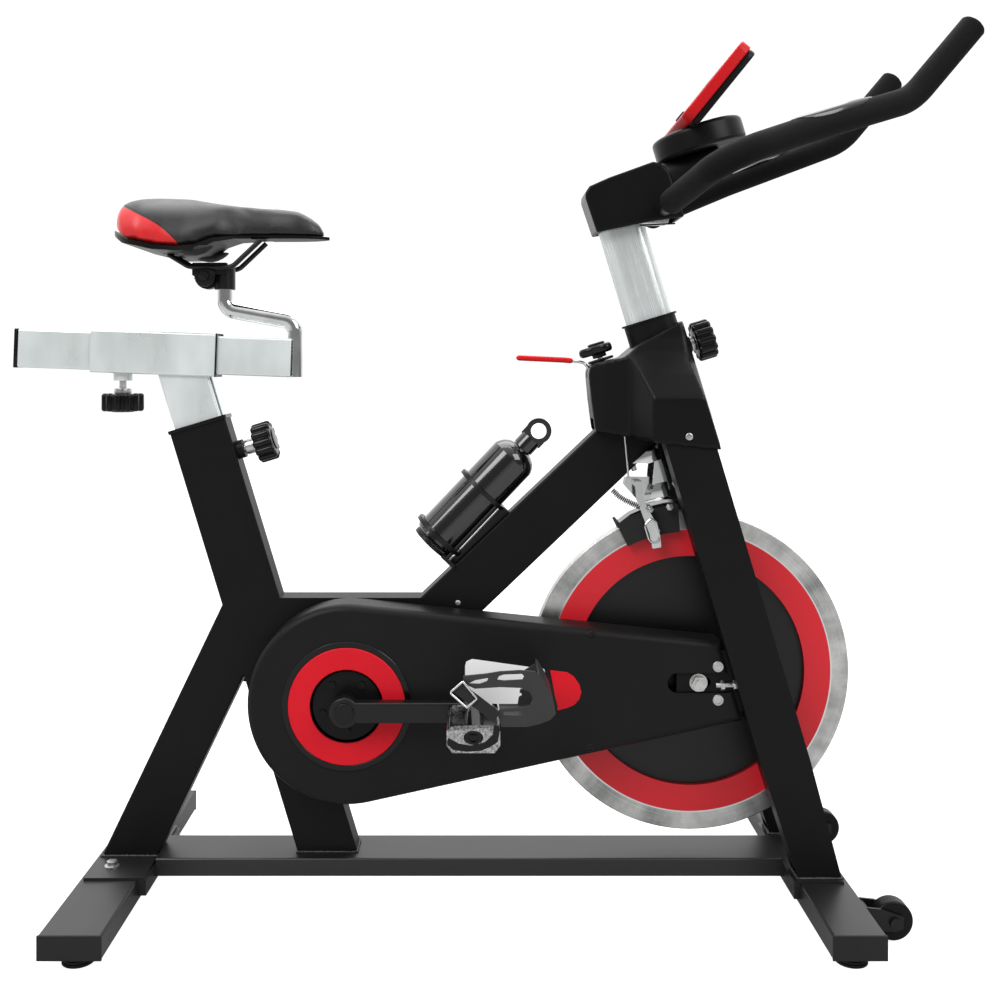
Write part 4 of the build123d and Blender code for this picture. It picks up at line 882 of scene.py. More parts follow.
panel_attribute = cushion.data.attributes.new("panel_edge", "FLOAT", "POINT")
for vertex in cushion.data.vertices:
    inner = abs(vertex.co.y) - 0.030
    panel_attribute.data[vertex.index].value = min(panel_distance(vertex.co.x, vertex.co.z), inner)
bpy.context.view_layer.update()


def seam_on_cushion(side, shift):
    """The seam curve laid on the cushion's side, moved off the seam by shift."""
    line = []
    for a, b in zip(PANEL_CURVE, PANEL_CURVE[1:]):
        run = (b - a).normalized()
        for t in (0.0, 0.25, 0.5, 0.75):
            x, z = a.lerp(b, t) + Vector((-run.y, run.x)) * shift
            found, place, normal, _ = cushion.ray_cast((x, side * 0.14, z), (0, -side, 0))
            if found and abs(place.y) > 0.034:
                line.append(place + normal * 0.0002)
    return line


thread = skin("saddle_thread", grey(0.05), grey(0.11), (0.55, 0.7), 2500.0, 0.3)
stitches = run_tree("saddle_stitches", chains("seams", [seam_on_cushion(s, 0.0022) for s in (-1, 1)]),
                    bead_tree,
                    thread, Spacing=0.0034, Bead_Size=(0.0012, 0.0004, 0.0004), Unevenness=0.12, Seed=3)
settle(cushion, "saddle", "saddle_leather", "saddle_cushion")
settle(stitches, "saddle", "saddle_leather")
print("stitches", len(stitches.data.polygons) // 80)

# %% [markdown]
# ### Under the saddle
# The shell's edge shows as a black rim. Two steel rails run through the clamp, whose toothed discs set the
# saddle's tilt. The teeth are one wedge repeated round a circle, and the nut on top is a turned profile.

# %% Saddle clamp teeth, nuts and belly pad
PIVOT = Vector((-0.381, 0.0, 0.8575))
# Toothed disc, washer, nut and bolt end: how far out each starts, its profile, and its sides.
CLAMP_STACK = [(0.0190, (0.0150, 0.0, 0.0035, 0.001), (48, 24, 0.07)),
               (0.0222, (0.0115, 0.0, 0.0024, 0.0008), (40,)),
               (0.0245, (0.0072, 0.0, 0.0062, 0.0008, 3), (6,)),
               (0.0300, (0.0036, 0.0, 0.0042, 0.0006, 3), (20,))]
bm = bmesh.new()
for side in (-1, 1):
    for out, outline, sides in CLAMP_STACK:
        turn_profile(bm, PIVOT + ACROSS * side * out, ACROSS * side, rounded_profile(*outline), *sides)
piece_from(bm, "saddle_clamp_discs", black_steel, "saddle", "black_steel")
bm = bmesh.new()
belly = [(-0.415, 0.0, 0.8900), (-0.400, 0.0, 0.8845), (-0.386, 0.0, 0.8830), (-0.372, 0.0, 0.8880),
         (-0.362, 0.0, 0.8960)]
for side in (-1, 1):
    rows = []
    for k, (x, _, low) in enumerate(belly):
        half = (6.0, 15.0, 17.0, 13.0, 5.0)[k] * MM
        rows.append([bm.verts.new((x, side * 0.050 + half * math.cos(a), (low + 0.897) / 2 +
                                   (0.897 - low) / 2 * math.sin(a) * 1.15)) for a in
                     [2 * math.pi * j / 20 for j in range(20)]])
    for low, high in zip(rows, rows[1:]):
        for j in range(20):
            bm.faces.new((low[j], low[(j + 1) % 20], high[(j + 1) % 20], high[j]))
    bm.faces.new(rows[0])
    bm.faces.new(rows[-1])
belly_pads = put("saddle_belly_pads", mesh_from(bm, "saddle_belly_pads", 60), foot_rubber)
add_belly = belly_pads.modifiers.new("ease", "SUBSURF")
add_belly.levels = 1
add_belly.render_levels = 1
settle(bake(belly_pads), "saddle", "rubber")
print("under-saddle pieces made")

# %% [markdown]
# ## Knobs
# The three round knobs share one idea: a smooth core with a ring of finger ribs. A rib is modelled once and set
# round the core by Geometry Nodes, so the count and size stay easy to change. Each keeps its own pin and axis.

# %% Ribbed knobs
SEAT_MOUTH = Vector((-391.5, 0.0, 648.4)) * MM
HEAD_MOUTH = Vector((240.5, 0.0, 796.0)) * MM
PIN_DOWN = 0.048
rib_bm = bmesh.new()
turn_profile(rib_bm, (0, 0, 0), (0, 0, 1), rounded_profile(0.0052, 0.0, 0.0250, 0.0035, 4), 14)
rib_pattern = put("rib_pattern", mesh_from(rib_bm, "rib_pattern"), knob_plastic)


def ribbed_knob(name, foot, axis, radius, length, body, node, count=12):
    """A knob: ribs round a turned core with a small boss on its end; its shank and pin are turned apart, in
    pin_and_shank.
    """
    axis = Vector(axis).normalized()
    foot = Vector(foot)
    first, second, _ = frame_of(axis)
    rib_places = [(foot + (first * math.cos(a) + second * math.sin(a)) * (radius - 0.0058), axis)
                  for a in [2 * math.pi * k / count for k in range(count)]]
    ribs = run_tree(name + "_ribs", dots("ribs", rib_places), copy_tree, knob_plastic, Pattern=rib_pattern,
                    Size=length / 0.025)
    core = bmesh.new()
    core.from_mesh(ribs.data)
    turn_profile(core, foot, axis, rounded_profile(radius - 0.0040, 0.0006, length - 0.0004, 0.0042), 64)
    turn_profile(core, foot, axis, rounded_profile(radius * 0.52, length - 0.0006, length + 0.0012, 0.001),
                 40)
    bpy.data.objects.remove(ribs)
    made = put(name, mesh_from(core, name), knob_plastic)
    settle(made, body, "black_plastic")
    return made


def pin_and_shank(name, start, axis, stages, body, finish, slot_name, *stands_for):
    """The turned steel or plastic core behind a knob, as (radius, from, to) stages along its axis."""
    bm = bmesh.new()
    for radius, low, high in stages:
        turn_profile(bm, start, axis, rounded_profile(radius, low, high, min(0.0008, radius / 3), 3), 40)
    return settle(put(name, mesh_from(bm, name), finish), body, slot_name, *stands_for)


seat_pin_at = SEAT_MOUTH - UP * PIN_DOWN
bar_pin_at = HEAD_MOUTH - UP * PIN_DOWN
ribbed_knob("seat_knob", seat_pin_at + AHEAD * 0.067, AHEAD, 0.028, 0.027, "seat_pull_knob", "seat_pull_knob")
pin_and_shank("seat_pin", seat_pin_at, AHEAD, [(0.0108, 0.0530, 0.0672), (0.0049, 0.0275, 0.0640)],
              "seat_pull_knob",
              zinc_steel, "zinc_steel", "seat_pull_knob")
ribbed_knob("bar_knob", bar_pin_at + AHEAD * 0.051, AHEAD, 0.028, 0.027, "bar_pull_knob", "bar_pull_knob")
pin_and_shank("bar_pin", bar_pin_at, AHEAD, [(0.0108, 0.0452, 0.0512), (0.0049, 0.0275, 0.0480)],
              "bar_pull_knob",
              zinc_steel, "zinc_steel", "bar_pull_knob")
SLIDER_KNOB = Vector((-0.501, 0.0, 0.694))
ribbed_knob("slider_knob_head", SLIDER_KNOB, (0, 0, -1), 0.030, 0.025, "slider_knob", "slider_knob")
pin_and_shank("slider_knob_screw", SLIDER_KNOB, (0, 0, 1),
              [(0.0118, -0.0004, 0.0070), (0.0049, 0.0060, 0.0305)],
              "slider_knob", zinc_steel, "zinc_steel", "slider_knob")
print("three ribbed knobs made")

# %% [markdown]
# The tension knob has three soft lobes so that it can be gripped with a gloved hand. Its radius is a cosine
# wave, which is exactly what three rounded lobes are, so it is one turned profile with a wave on it.

# %% Tension knob and stop lever
KNOB_FOOT = Vector((0.171, 0.0, 0.744))
bm = bmesh.new()
turn_profile(bm, KNOB_FOOT, UP, rounded_profile(0.0268, 0.0060, 0.0185, 0.0050, 6), 96, 3, 0.34)
turn_profile(bm, KNOB_FOOT, UP, rounded_profile(0.0125, 0.0178, 0.0222, 0.0030, 5), 48)
turn_profile(bm, KNOB_FOOT, UP, rounded_profile(0.0100, 0.0008, 0.0068, 0.0012), 40)
piece_from(bm, "tension_knob_head", knob_plastic, "tension_knob", "black_plastic", "tension_knob")
bm = bmesh.new()
turn_profile(bm, KNOB_FOOT, UP, rounded_profile(0.0040, -0.1660, 0.0010, 0.0005, 3), 32)
piece_from(bm, "tension_screw", zinc_steel, "tension_knob", "zinc_steel")
bm = bmesh.new()
turn_profile(bm, KNOB_FOOT, UP, rounded_profile(0.0185, -0.0046, -0.0008, 0.0012), 56)
piece_from(bm, "tension_washer", knob_plastic, "root", "black_plastic")
lever_line = bent_path([(158, 0, 725.5), (148, 0, 737.5), (120, 0, 740.9), (53, 0, 744.1)], [8, 60])
lever_wire = run_tree("stop_lever_wire", chain("lever_wire", lever_line), tube_tree, chrome, Radius=0.0022,
                      End_Round=0.0015, Step=0.0015, Sides=16)
settle(lever_wire, "brake_lever", "red_grip", "brake_lever")
lever_dip = run_tree("stop_lever_dip", chain("lever_dip",
                                             [Vector((0.1335, 0, 0.7396)), Vector((0.1200, 0, 0.7409)),
                                                           Vector((0.0525, 0, 0.7441))]),
                     tube_tree, red_dip, Radius=0.0039, End_Round=0.0055, Step=0.0012, Sides=20)
settle(lever_dip, "brake_lever", "red_grip")
print("tension knob and stop lever made")
bpy.data.objects.remove(rib_pattern)

# %% [markdown]
# ## Moulded covers
# The shroud over the head tube, the bar housing, and the disc under the console are injection mouldings: thin
# walls, no hard corners. Each begins as simple outlines pushed through one another. A fine remesh and a little
# smoothing then round every edge at once, and the inside and the tube holes are cut last, so they stay crisp.


# %% Cover tools
def prism(name, outline, axis, low, high):
    """A closed prism: an outline of two coordinates pushed along the third, in millimetres."""
    bm = bmesh.new()
    rows = []
    for level in (low, high):
        row = []
        for a, b in outline:
            place = {"X": (level, a, b), "Y": (a, level, b), "Z": (a, b, level)}[axis]
            row.append(bm.verts.new(Vector(place) * MM))
        rows.append(row)
    for k in range(len(outline)):
        n = (k + 1) % len(outline)
        bm.faces.new((rows[0][k], rows[0][n], rows[1][n], rows[1][k]))
    bm.faces.new(list(reversed(rows[0])))
    bm.faces.new(rows[1])
    return put(name, mesh_from(bm, name, 20.0), shroud_plastic)


def leaning_prism(name, outline, foot, length):
    """The same, standing on a point and leaning with the posts; the outline is ahead and across."""
    bm = bmesh.new()
    rows = [[bm.verts.new(Vector(foot) + (AHEAD * a + ACROSS * y + UP * h) * MM) for a, y in outline]
            for h in (0.0, length)]
    for k in range(len(outline)):
        n = (k + 1) % len(outline)
        bm.faces.new((rows[0][k], rows[0][n], rows[1][n], rows[1][k]))
    bm.faces.new(list(reversed(rows[0])))
    bm.faces.new(rows[1])
    return put(name, mesh_from(bm, name, 20.0), shroud_plastic)


def combine(obj, tool, operation):
    """Applies one exact boolean and removes the tool."""
    cut = obj.modifiers.new("cut", "BOOLEAN")
    cut.operation = operation
    cut.object = tool
    cut.solver = "EXACT"
    bake(obj)
    bpy.data.objects.remove(tool)
    return obj


def round_off(obj, voxel, passes):
    """Rounds every edge: an even remesh, then smoothing."""
    even = obj.modifiers.new("even", "REMESH")
    even.mode = "VOXEL"
    even.voxel_size = voxel
    ease = obj.modifiers.new("ease", "SMOOTH")
    ease.factor = 0.6
    ease.iterations = passes
    return bake(obj)


def loop_of(half):
    """A half outline and its mirror image as one loop."""
    return half + [(a, -y) for a, y in reversed(half)]


def oval(half_long, half_wide, steps=12):
    """An outline with straight sides and round front and back."""
    reach = half_long - half_wide
    points = []
    for end in (1, -1):
        for k in range(steps + 1):
            a = math.pi * (k / steps - 0.5)
            points.append((end * (reach + half_wide * math.cos(a)), end * half_wide * math.sin(a)))
    return points


SHROUD_SIDE = [(161.5, 641), (155, 690), (152, 722), (154, 731), (162, 737), (200, 745), (222, 764),
               (285, 797),
               (340, 700), (340, 621), (322, 621), (245, 629)]
SHROUD_INSIDE = [(167, 600), (157, 722), (163.5, 732.5), (201, 741.5), (224, 760.5), (281.5, 790), (340, 694),
                 (340, 600)]
SHROUD_PLAN = [(140, 12), (152, 27), (172, 38), (205, 46), (232, 94), (318.5, 94), (360, 94)]
SHROUD_TAPER = [(94, 590), (94, 690), (70, 722), (44, 750), (38, 772), (35, 800)]
SHROUD_NOSE = [(42, 14), (40, 26), (35, 37), (28.5, 48), (27, 100), (-320, 100)]


def shroud_form(name, side, inset):
    """Four outlines pushed through one another; inset draws the inside in by the wall."""
    form = prism(name, side, "Y", -100, 100)
    combine(form, prism("plan", loop_of([(x, y - inset) for x, y in SHROUD_PLAN]), "Z", 560, 840),
            "INTERSECT")
    taper = [(y - inset, z) for y, z in SHROUD_TAPER]
    combine(form, prism("taper", taper + [(-y, z) for y, z in reversed(taper)], "X", 100, 400), "INTERSECT")
    nose = loop_of([(a - inset, max(1.0, y - inset)) for a, y in SHROUD_NOSE])
    return combine(form, leaning_prism("nose", nose, HEAD_MOUTH - UP * 0.26, 360), "INTERSECT")


shroud = round_off(shroud_form("head_shroud", SHROUD_SIDE, 0.0), 0.0024, 6)
combine(shroud, shroud_form("shroud_inside", SHROUD_INSIDE, 3.2), "DIFFERENCE")
for hole in (leaning_prism("tube_hole", oval(37.8, 25.3), HEAD_MOUTH - UP * 0.1, 160),
             leaning_prism("knob_hole", [(5.6 * math.cos(a), 5.6 * math.sin(a)) for a in
                                         [math.pi * k / 10 for k in range(20)]], KNOB_FOOT - UP * 0.05, 70),
             prism("lever_slot", [(140, -5), (168, -5), (168, 5), (140, 5)], "Z", 716, 760),
             prism("down_tube_hole", [(140, 560), (196, 614), (240, 676), (200, 700), (140, 640)], "Y",
                   -20.6, 20.6)):
    combine(shroud, hole, "DIFFERENCE")
shroud.data.set_sharp_from_angle(angle=math.radians(42))
settle(shroud, "root", "black_plastic", "head_shroud_right", "head_shroud_left")
print("shroud faces", len(shroud.data.polygons))

# %% [markdown]
# The housing hides the clamp where both bars meet the post. It is open below. The disc on top of it is turned,
# so it is a profile about the post's own line, and its neck runs down to the bars.

# %% Bar housing, disc and neck
HOUSING = [(163, 917), (155, 941), (147, 965), (147.5, 973), (153, 981), (180, 993), (212, 1004.5),
           (241, 1015), (252, 1012),
           (263, 1001), (275, 966), (284, 939), (232, 931)]
HOUSING_INSIDE = [(176, 890), (151, 967), (156, 978), (181, 989.5), (241, 1010.5), (259, 999), (290, 900)]
housing = round_off(prism("bar_housing_cover", HOUSING, "Y", -34, 34), 0.0018, 3)
combine(housing, prism("housing_inside", HOUSING_INSIDE, "Y", -31, 31), "DIFFERENCE")
housing.data.set_sharp_from_angle(angle=math.radians(42))
settle(housing, "bar_post", "black_plastic", "bar_housing")

DISC_FOOT = Vector((314.7, 0.0, 1033.3)) * MM
bm = bmesh.new()
disc_profile = [(1e-5, 0.0), (0.0600, 0.0), (0.0622, 0.0008), (0.0630, 0.0020), (0.0632, 0.0036),
                (0.0640, 0.0042),
                (0.0640, 0.0262), (0.0634, 0.0292), (0.0615, 0.0316), (0.0580, 0.0332), (0.0400, 0.0342),
                (1e-5, 0.0346)]
turn_profile(bm, DISC_FOOT, UP, disc_profile, 96)
settle(put("console_disc", mesh_from(bm, "console_disc", 50), shroud_plastic), "bar_post", "black_plastic",
       "console_mount")
neck_rows = [(250, 985, 24), (262, 960, 30), (276, 952, 33), (292, 966, 34), (312, 992, 32), (340, 1022, 24)]
bm = bmesh.new()
rings = []
for x, z_low, half in neck_rows:
    top = 1033.3 + (x - 314.7) * math.tan(LEAN) + 3.0
    middle, deep = (top + z_low) / 2, (top - z_low) / 2
    rings.append([bm.verts.new(Vector((x, half * math.copysign(abs(math.cos(a)) ** 0.7, math.cos(a)),
                                       middle + deep * math.copysign(abs(math.sin(a)) ** 0.7,
                                                                     math.sin(a)))) * MM)
                  for a in [2 * math.pi * k / 28 for k in range(28)]])
for low, high in zip(rings, rings[1:]):
    for k in range(28):
        bm.faces.new((low[k], low[(k + 1) % 28], high[(k + 1) % 28], high[k]))
bm.faces.new(list(reversed(rings[0])))
bm.faces.new(rings[-1])
neck = put("console_neck", mesh_from(bm, "console_neck", 60), shroud_plastic)
neck_fine = neck.modifiers.new("ease", "SUBSURF")
neck_fine.levels = 2
neck_fine.render_levels = 2
settle(bake(neck), "bar_post", "black_plastic")
print("housing faces", len(housing.data.polygons))

# %% [markdown]
# ## Console
# The console is a red tray with a black back. Its face has a dark window with a small plain display and one
# rubber button. The display shows four empty digit shapes only.

# %% Console tray, back, window and button
TILT = math.radians(51)
SCREEN_UP = Vector((math.cos(TILT), 0.0, math.sin(TILT)))
SCREEN_OUT = Vector((-math.sin(TILT), 0.0, math.cos(TILT)))
SCREEN_FOOT = Vector((262.0, 0.0, 1052.5)) * MM
red_console = skin("red_console", (0.56, 0.006, 0.010, 1), (0.66, 0.012, 0.016, 1), (0.30, 0.40), 900.0, 0.02,
                   Specular_IOR_Level=0.2)
window_glass = skin("window_glass", grey(0.003), grey(0.005), (0.06, 0.12), 200.0, 0.01, Coat_Weight=1.0)
display_film = skin("display_film", (0.20, 0.23, 0.20, 1), (0.25, 0.28, 0.25, 1), (0.3, 0.4), 900.0, 0.02)


def console_plate(name, half_wide, up_span, out_span, corner, soft, finish):
    """A rounded plate square to the console's face, in millimetres."""
    bm = bmesh.new()
    rows = []
    for out in out_span:
        row = []
        for cy, cu, start in ((half_wide - corner, up_span[1] - corner, 0.0),
                              (corner - half_wide, up_span[1] - corner, 90.0),
                              (corner - half_wide, up_span[0] + corner, 180.0),
                              (half_wide - corner, up_span[0] + corner, 270.0)):
            for k in range(9):
                a = math.radians(start + 90 * k / 8)
                across, up = cy + corner * math.cos(a), cu + corner * math.sin(a)
                row.append(bm.verts.new(SCREEN_FOOT + (ACROSS * across + SCREEN_UP * up + SCREEN_OUT * out) * MM))
        rows.append(row)
    for k in range(36):
        bm.faces.new((rows[0][k], rows[0][(k + 1) % 36], rows[1][(k + 1) % 36], rows[1][k]))
    bm.faces.new(list(reversed(rows[0])))
    bm.faces.new(rows[1])
    made = put(name, mesh_from(bm, name, 40), finish)
    if soft:
        add_bevel(made, soft * MM, 4)
        bake(made)
        made.data.shade_smooth()
        made.data.set_sharp_from_angle(angle=math.radians(40))
    return made


# Half width, span up the screen, span out of it, corner radius, edge softness and material of each plate.
CONSOLE_PLATES = [("console_tray", 92, (17, 147), (-13, 2.4), 16, 2.5, red_console, ["console"]),
                  ("console_back", 89, (19, 145.5), (-22.5, -12.6), 15, 3.0, shroud_plastic, []),
                  ("console_window", 78, (58, 134), (1.6, 2.46), 8, 0.0, window_glass, []),
                  ("console_display", 52, (74, 120), (2.0, 2.52), 3, 0.0, display_film, [])]
for *plate, stands_for in CONSOLE_PLATES:
    settle(console_plate(*plate), "bar_post", "black_plastic", *stands_for)
digit_bars = []
for column in range(4):
    middle = (column - 1.5) * 22
    digit_bars += [(middle, low, 7.5, 1.4) for low in (81, 96.3, 111.6)]
    digit_bars += [(middle + side * 7.2, low, 1.4, 12.4) for side in (-1, 1) for low in (83.3, 98.6)]
bm = bmesh.new()
for middle, low, half, tall in digit_bars:
    half = half if half > 2 else 0.8
    corners = [(middle - half, low), (middle + half, low), (middle + half, low + tall),
               (middle - half, low + tall)]
    rows = [[bm.verts.new(SCREEN_FOOT + (ACROSS * y + SCREEN_UP * u + SCREEN_OUT * out) * MM) for y,
             u in corners]
            for out in (2.4, 2.58)]
    for k in range(4):
        bm.faces.new((rows[0][k], rows[0][(k + 1) % 4], rows[1][(k + 1) % 4], rows[1][k]))
    bm.faces.new(list(reversed(rows[0])))
    bm.faces.new(rows[1])
piece_from(bm, "console_digits", knob_plastic, "bar_post", "black_plastic")
bm = bmesh.new()
turn_profile(bm, SCREEN_FOOT + SCREEN_UP * 0.038 - SCREEN_OUT * 0.0015, SCREEN_OUT,
             rounded_profile(0.0086, 0.0, 0.0062, 0.0018), 40)
piece_from(bm, "console_button_cap", foot_rubber, "console_button", "rubber", "console_button")
print("console made")

# %% [markdown]
# ## Grips and pulse plates
# Foam sleeves are pushed along the bent bar, so each is a tube on the bar's own line. On top of each bar sits a
# leaf-shaped glossy cover with a metal strip, which the rider's palm rests on.

# %% Foam sleeves and pulse plates
BAR_POINTS = [(637.5, -140, 1173), (555, -140, 1075), (396, -211, 1020), (291, -262, 979),
              (257.5, -74.0, 952.0)]
foam_rubber = skin("foam_rubber", grey(0.0035), grey(0.0090), (0.60, 0.80), 1100.0, 0.55, 0.5, 0.0009,
                   Specular_IOR_Level=0.12)
plate_gloss = skin("plate_gloss", grey(0.0030), grey(0.0055), (0.12, 0.20), 500.0, 0.02, Coat_Weight=0.6)


def on_side(point, s):
    """A right-hand point in millimetres, or its mirror on the left, in metres."""
    return Vector((point[0], -point[1] if s > 0 else point[1], point[2]))


grips = run_tree("foam_sleeves", chains("grip_lines", [bent_path([on_side(p, s) for p in BAR_POINTS],
                                                                 [60, 120, 45])
                                                       for s in (-1, 1)]), tube_tree, foam_rubber,
                 Radius=0.0170, End_Round=0.0045, Step=0.0025, Sides=36)
settle(grips, "bar_post", "foam", "foam_grips")
LEAF_TURN = math.radians(56)
LEAF_UNDER = 0.0150
plate_bm, strip_bm = bmesh.new(), bmesh.new()
for s in (-1, 1):
    run_start, run_end = on_side(BAR_POINTS[2], s) * MM, on_side(BAR_POINTS[1], s) * MM
    run = (run_end - run_start).normalized()
    middle = run_start.lerp(run_end, 0.29)
    sideways = run.cross(Vector((0, 0, 1))).normalized()
    upward = sideways.cross(run).normalized()
    for bm, reach, widest, base, rise in ((plate_bm, 0.066, LEAF_TURN, 0.0168, 0.0036),
                                          (strip_bm, 0.046, 0.38, 0.0172, 0.0044)):
        rows = []
        for k in range(25):
            t = -1 + 2 * k / 24
            fat = max(0.02, 1 - abs(t) ** 2.2) ** 0.6
            here = middle + run * reach * t
            row = []
            for j in range(13):
                a = widest * fat * (j / 6 - 1)
                lift = base + rise * fat * (1 - abs(j / 6 - 1) ** 4) ** 0.5
                row.append(bm.verts.new(here + (upward * math.cos(a) + sideways * math.sin(a)) * lift))
            for j in range(12, -1, -1):
                a = widest * fat * (j / 6 - 1)
                row.append(bm.verts.new(here + (upward * math.cos(a) + sideways * math.sin(a)) * LEAF_UNDER))
            rows.append(row)
        for low, high in zip(rows, rows[1:]):
            for j in range(26):
                bm.faces.new((low[j], low[(j + 1) % 26], high[(j + 1) % 26], high[j]))
        bm.faces.new(list(reversed(rows[0])))
        bm.faces.new(rows[-1])
settle(put("pulse_covers", mesh_from(plate_bm, "pulse_covers", 50), plate_gloss), "bar_post", "black_plastic")
settle(put("pulse_strips", mesh_from(strip_bm, "pulse_strips", 50), chrome), "bar_post", "chrome")
print("grips and pulse plates made")

# %% [markdown]
# ## Guard trim and badge
# The chain guard carries a red ring inside a thin dark one, a two-colour plastic badge without any lettering,
# and small screws. Rings are turned from a closed profile, so both the bore and the outside are true circles.


# %% Guard rings, badge and screws
def turn_loop(bm, origin, axis, loop, sides=96):
    """A closed profile of (radius, height) turned about an axis, with a hole in the middle."""
    first, second, along = frame_of(axis)
    rings = []
    for k in range(sides):
        a = 2 * math.pi * k / sides
        spoke = first * math.cos(a) + second * math.sin(a)
        rings.append([bm.verts.new(Vector(origin) + spoke * r * MM + along * h * MM) for r, h in loop])
    for k in range(sides):
        here, following = rings[k], rings[(k + 1) % sides]
        for j in range(len(loop)):
            n = (j + 1) % len(loop)
            bm.faces.new((here[j], following[j], following[n], here[n]))


def plate_of(name, outline, near, far, finish, body, slot_name, soft=0.4, *stands_for):
    """A flat piece with a softened edge, in the side view, settled on its body."""
    bm = bmesh.new()
    push_outline(bm, outline, near, far)
    made = put(name, mesh_from(bm, name, 30), finish)
    if soft:
        add_bevel(made, soft * MM, 2)
        bake(made)
        made.data.shade_smooth()
        made.data.set_sharp_from_angle(angle=math.radians(35))
    return settle(made, body, slot_name, *stands_for)


GUARD_PLANE = -75.9
BADGE_NEAR, BADGE_FAR = -76.7, -75.8
GUARD_FACE = CRANK + Vector((0.0, GUARD_PLANE * MM, 0.0))
NEAR = Vector((0.0, -1.0, 0.0))
bm = bmesh.new()
turn_loop(bm, GUARD_FACE, NEAR, [(49.3, 0), (49.3, 2.3), (50.1, 3.0), (77.8, 3.0), (78.7, 2.2), (78.7, 0)])
piece_from(bm, "guard_red_ring", red_plastic, "root", "red_plastic", "guard_trim_ring")
bm = bmesh.new()
turn_loop(bm, GUARD_FACE, NEAR, [(78.9, 0), (78.9, 1.5), (79.6, 2.0), (86.2, 2.0), (87.0, 1.3), (87.0, 0)])
piece_from(bm, "guard_dark_ring", knob_plastic, "root", "black_plastic")
badge_white = skin("badge_white", grey(0.86), grey(0.92), (0.28, 0.36), 1200.0, 0.03)
plate_of("badge_body", [(-18.7, 330), (-17, 336), (-9, 339.5), (88, 326), (100, 276), (-14, 268),
                        (-18.7, 276)],
         BADGE_NEAR, BADGE_FAR, badge_white, "root", "black_plastic", 0.3)
plate_of("badge_line", [(87.5, 326.5), (92.5, 325.5), (106, 275), (99.5, 275.5)], BADGE_NEAR - 0.1,
         BADGE_FAR, knob_plastic, "root",
         "black_plastic", 0.0)
plate_of("badge_tip", [(95.5, 324.5), (118, 322), (127.5, 316), (135, 305), (137.3, 295), (135, 286),
                       (128, 278),
                       (119, 274), (105.5, 270.5)], BADGE_NEAR, BADGE_FAR, red_plastic, "root",
                       "red_plastic", 0.3)
bm = bmesh.new()
for x, z in ((151.0, 371.9), (149.0, 220.0)):
    turn_loop(bm, Vector((x, GUARD_PLANE, z)) * MM, NEAR,
              [(2.4, 0), (2.4, 0.3), (3.2, 0.7), (4.4, 0.7), (5.0, 0.0)], 32)
    turn_profile(bm, Vector((x, -75.7, z)) * MM, NEAR, rounded_profile(0.0024, 0.0, 0.0004, 0.0002, 2), 6)
piece_from(bm, "guard_screws", knob_plastic, "root", "black_plastic")
bm = bmesh.new()
for z in (329.0, 284.0):
    turn_loop(bm, Vector((321.0, -76.0, z)) * MM, NEAR, [(4.7, 0), (4.7, 0.8), (6.8, 0.8), (7.4, 0)], 40)
# The axle tensioner lies along the bike: its rod, its nut and its head.
for x, radius, deep, edge, sides in ((318.0, 0.0034, 0.030, 0.0005, 24), (324.0, 0.0074, 0.0055, 0.0008, 6),
                                     (341.0, 0.0066, 0.0050, 0.0008, 6)):
    turn_profile(bm, Vector((x, -74.5, 303.9)) * MM, (1, 0, 0), rounded_profile(radius, 0.0, deep, edge, 2),
                 sides)
for s in (-1, 1):
    turn_profile(bm, Vector((278.8, s * 90.0, 638.8)) * MM, (0, s, 0),
                 rounded_profile(0.0052, 0.0, 0.0058, 0.0016), 28)
turn_profile(bm, Vector((-28.9, -19.6, 403.0)) * MM, NEAR, rounded_profile(0.0040, 0.0, 0.0024, 0.0012), 24)
piece_from(bm, "frame_screws", zinc_steel, "root", "zinc_steel")
print("guard trim made")

# %% [markdown]
# ## Pedals and toe cages
# Each pedal is a pair of cut aluminium plates joined by toothed bars, round a black resin core. The toe cage is
# one moulding with windows cut through both sides, and its webbing strap runs through a wire buckle.

# %% Pedals
pedal_alloy = drawn_metal("pedal_alloy", grey(0.10), grey(0.80), (0.20, 0.38), (30.0, 3.0, 30.0), 0.0, 0.15)
cage_resin = skin("cage_resin", grey(0.030), grey(0.070), (0.34, 0.48), 1300.0, 0.10, Specular_IOR_Level=0.25)
webbing = skin("webbing", grey(0.004), grey(0.016), (0.60, 0.80), 1600.0, 0.5)
PEDAL_OUTLINE = [(-33, 266), (-26, 257), (26, 257), (33, 266), (33, 284), (26, 290), (-26, 290), (-33, 284)]
PEDAL_BAND = [(-32.5, 268.5), (-25, 261), (-8, 258.8), (9, 260), (21, 264.8), (30, 271), (32.5, 284),
              (31, 291), (25, 291.5),
              (24, 280), (14, 270.5), (-3, 266.3), (-18, 268.8), (-31, 275.5)]


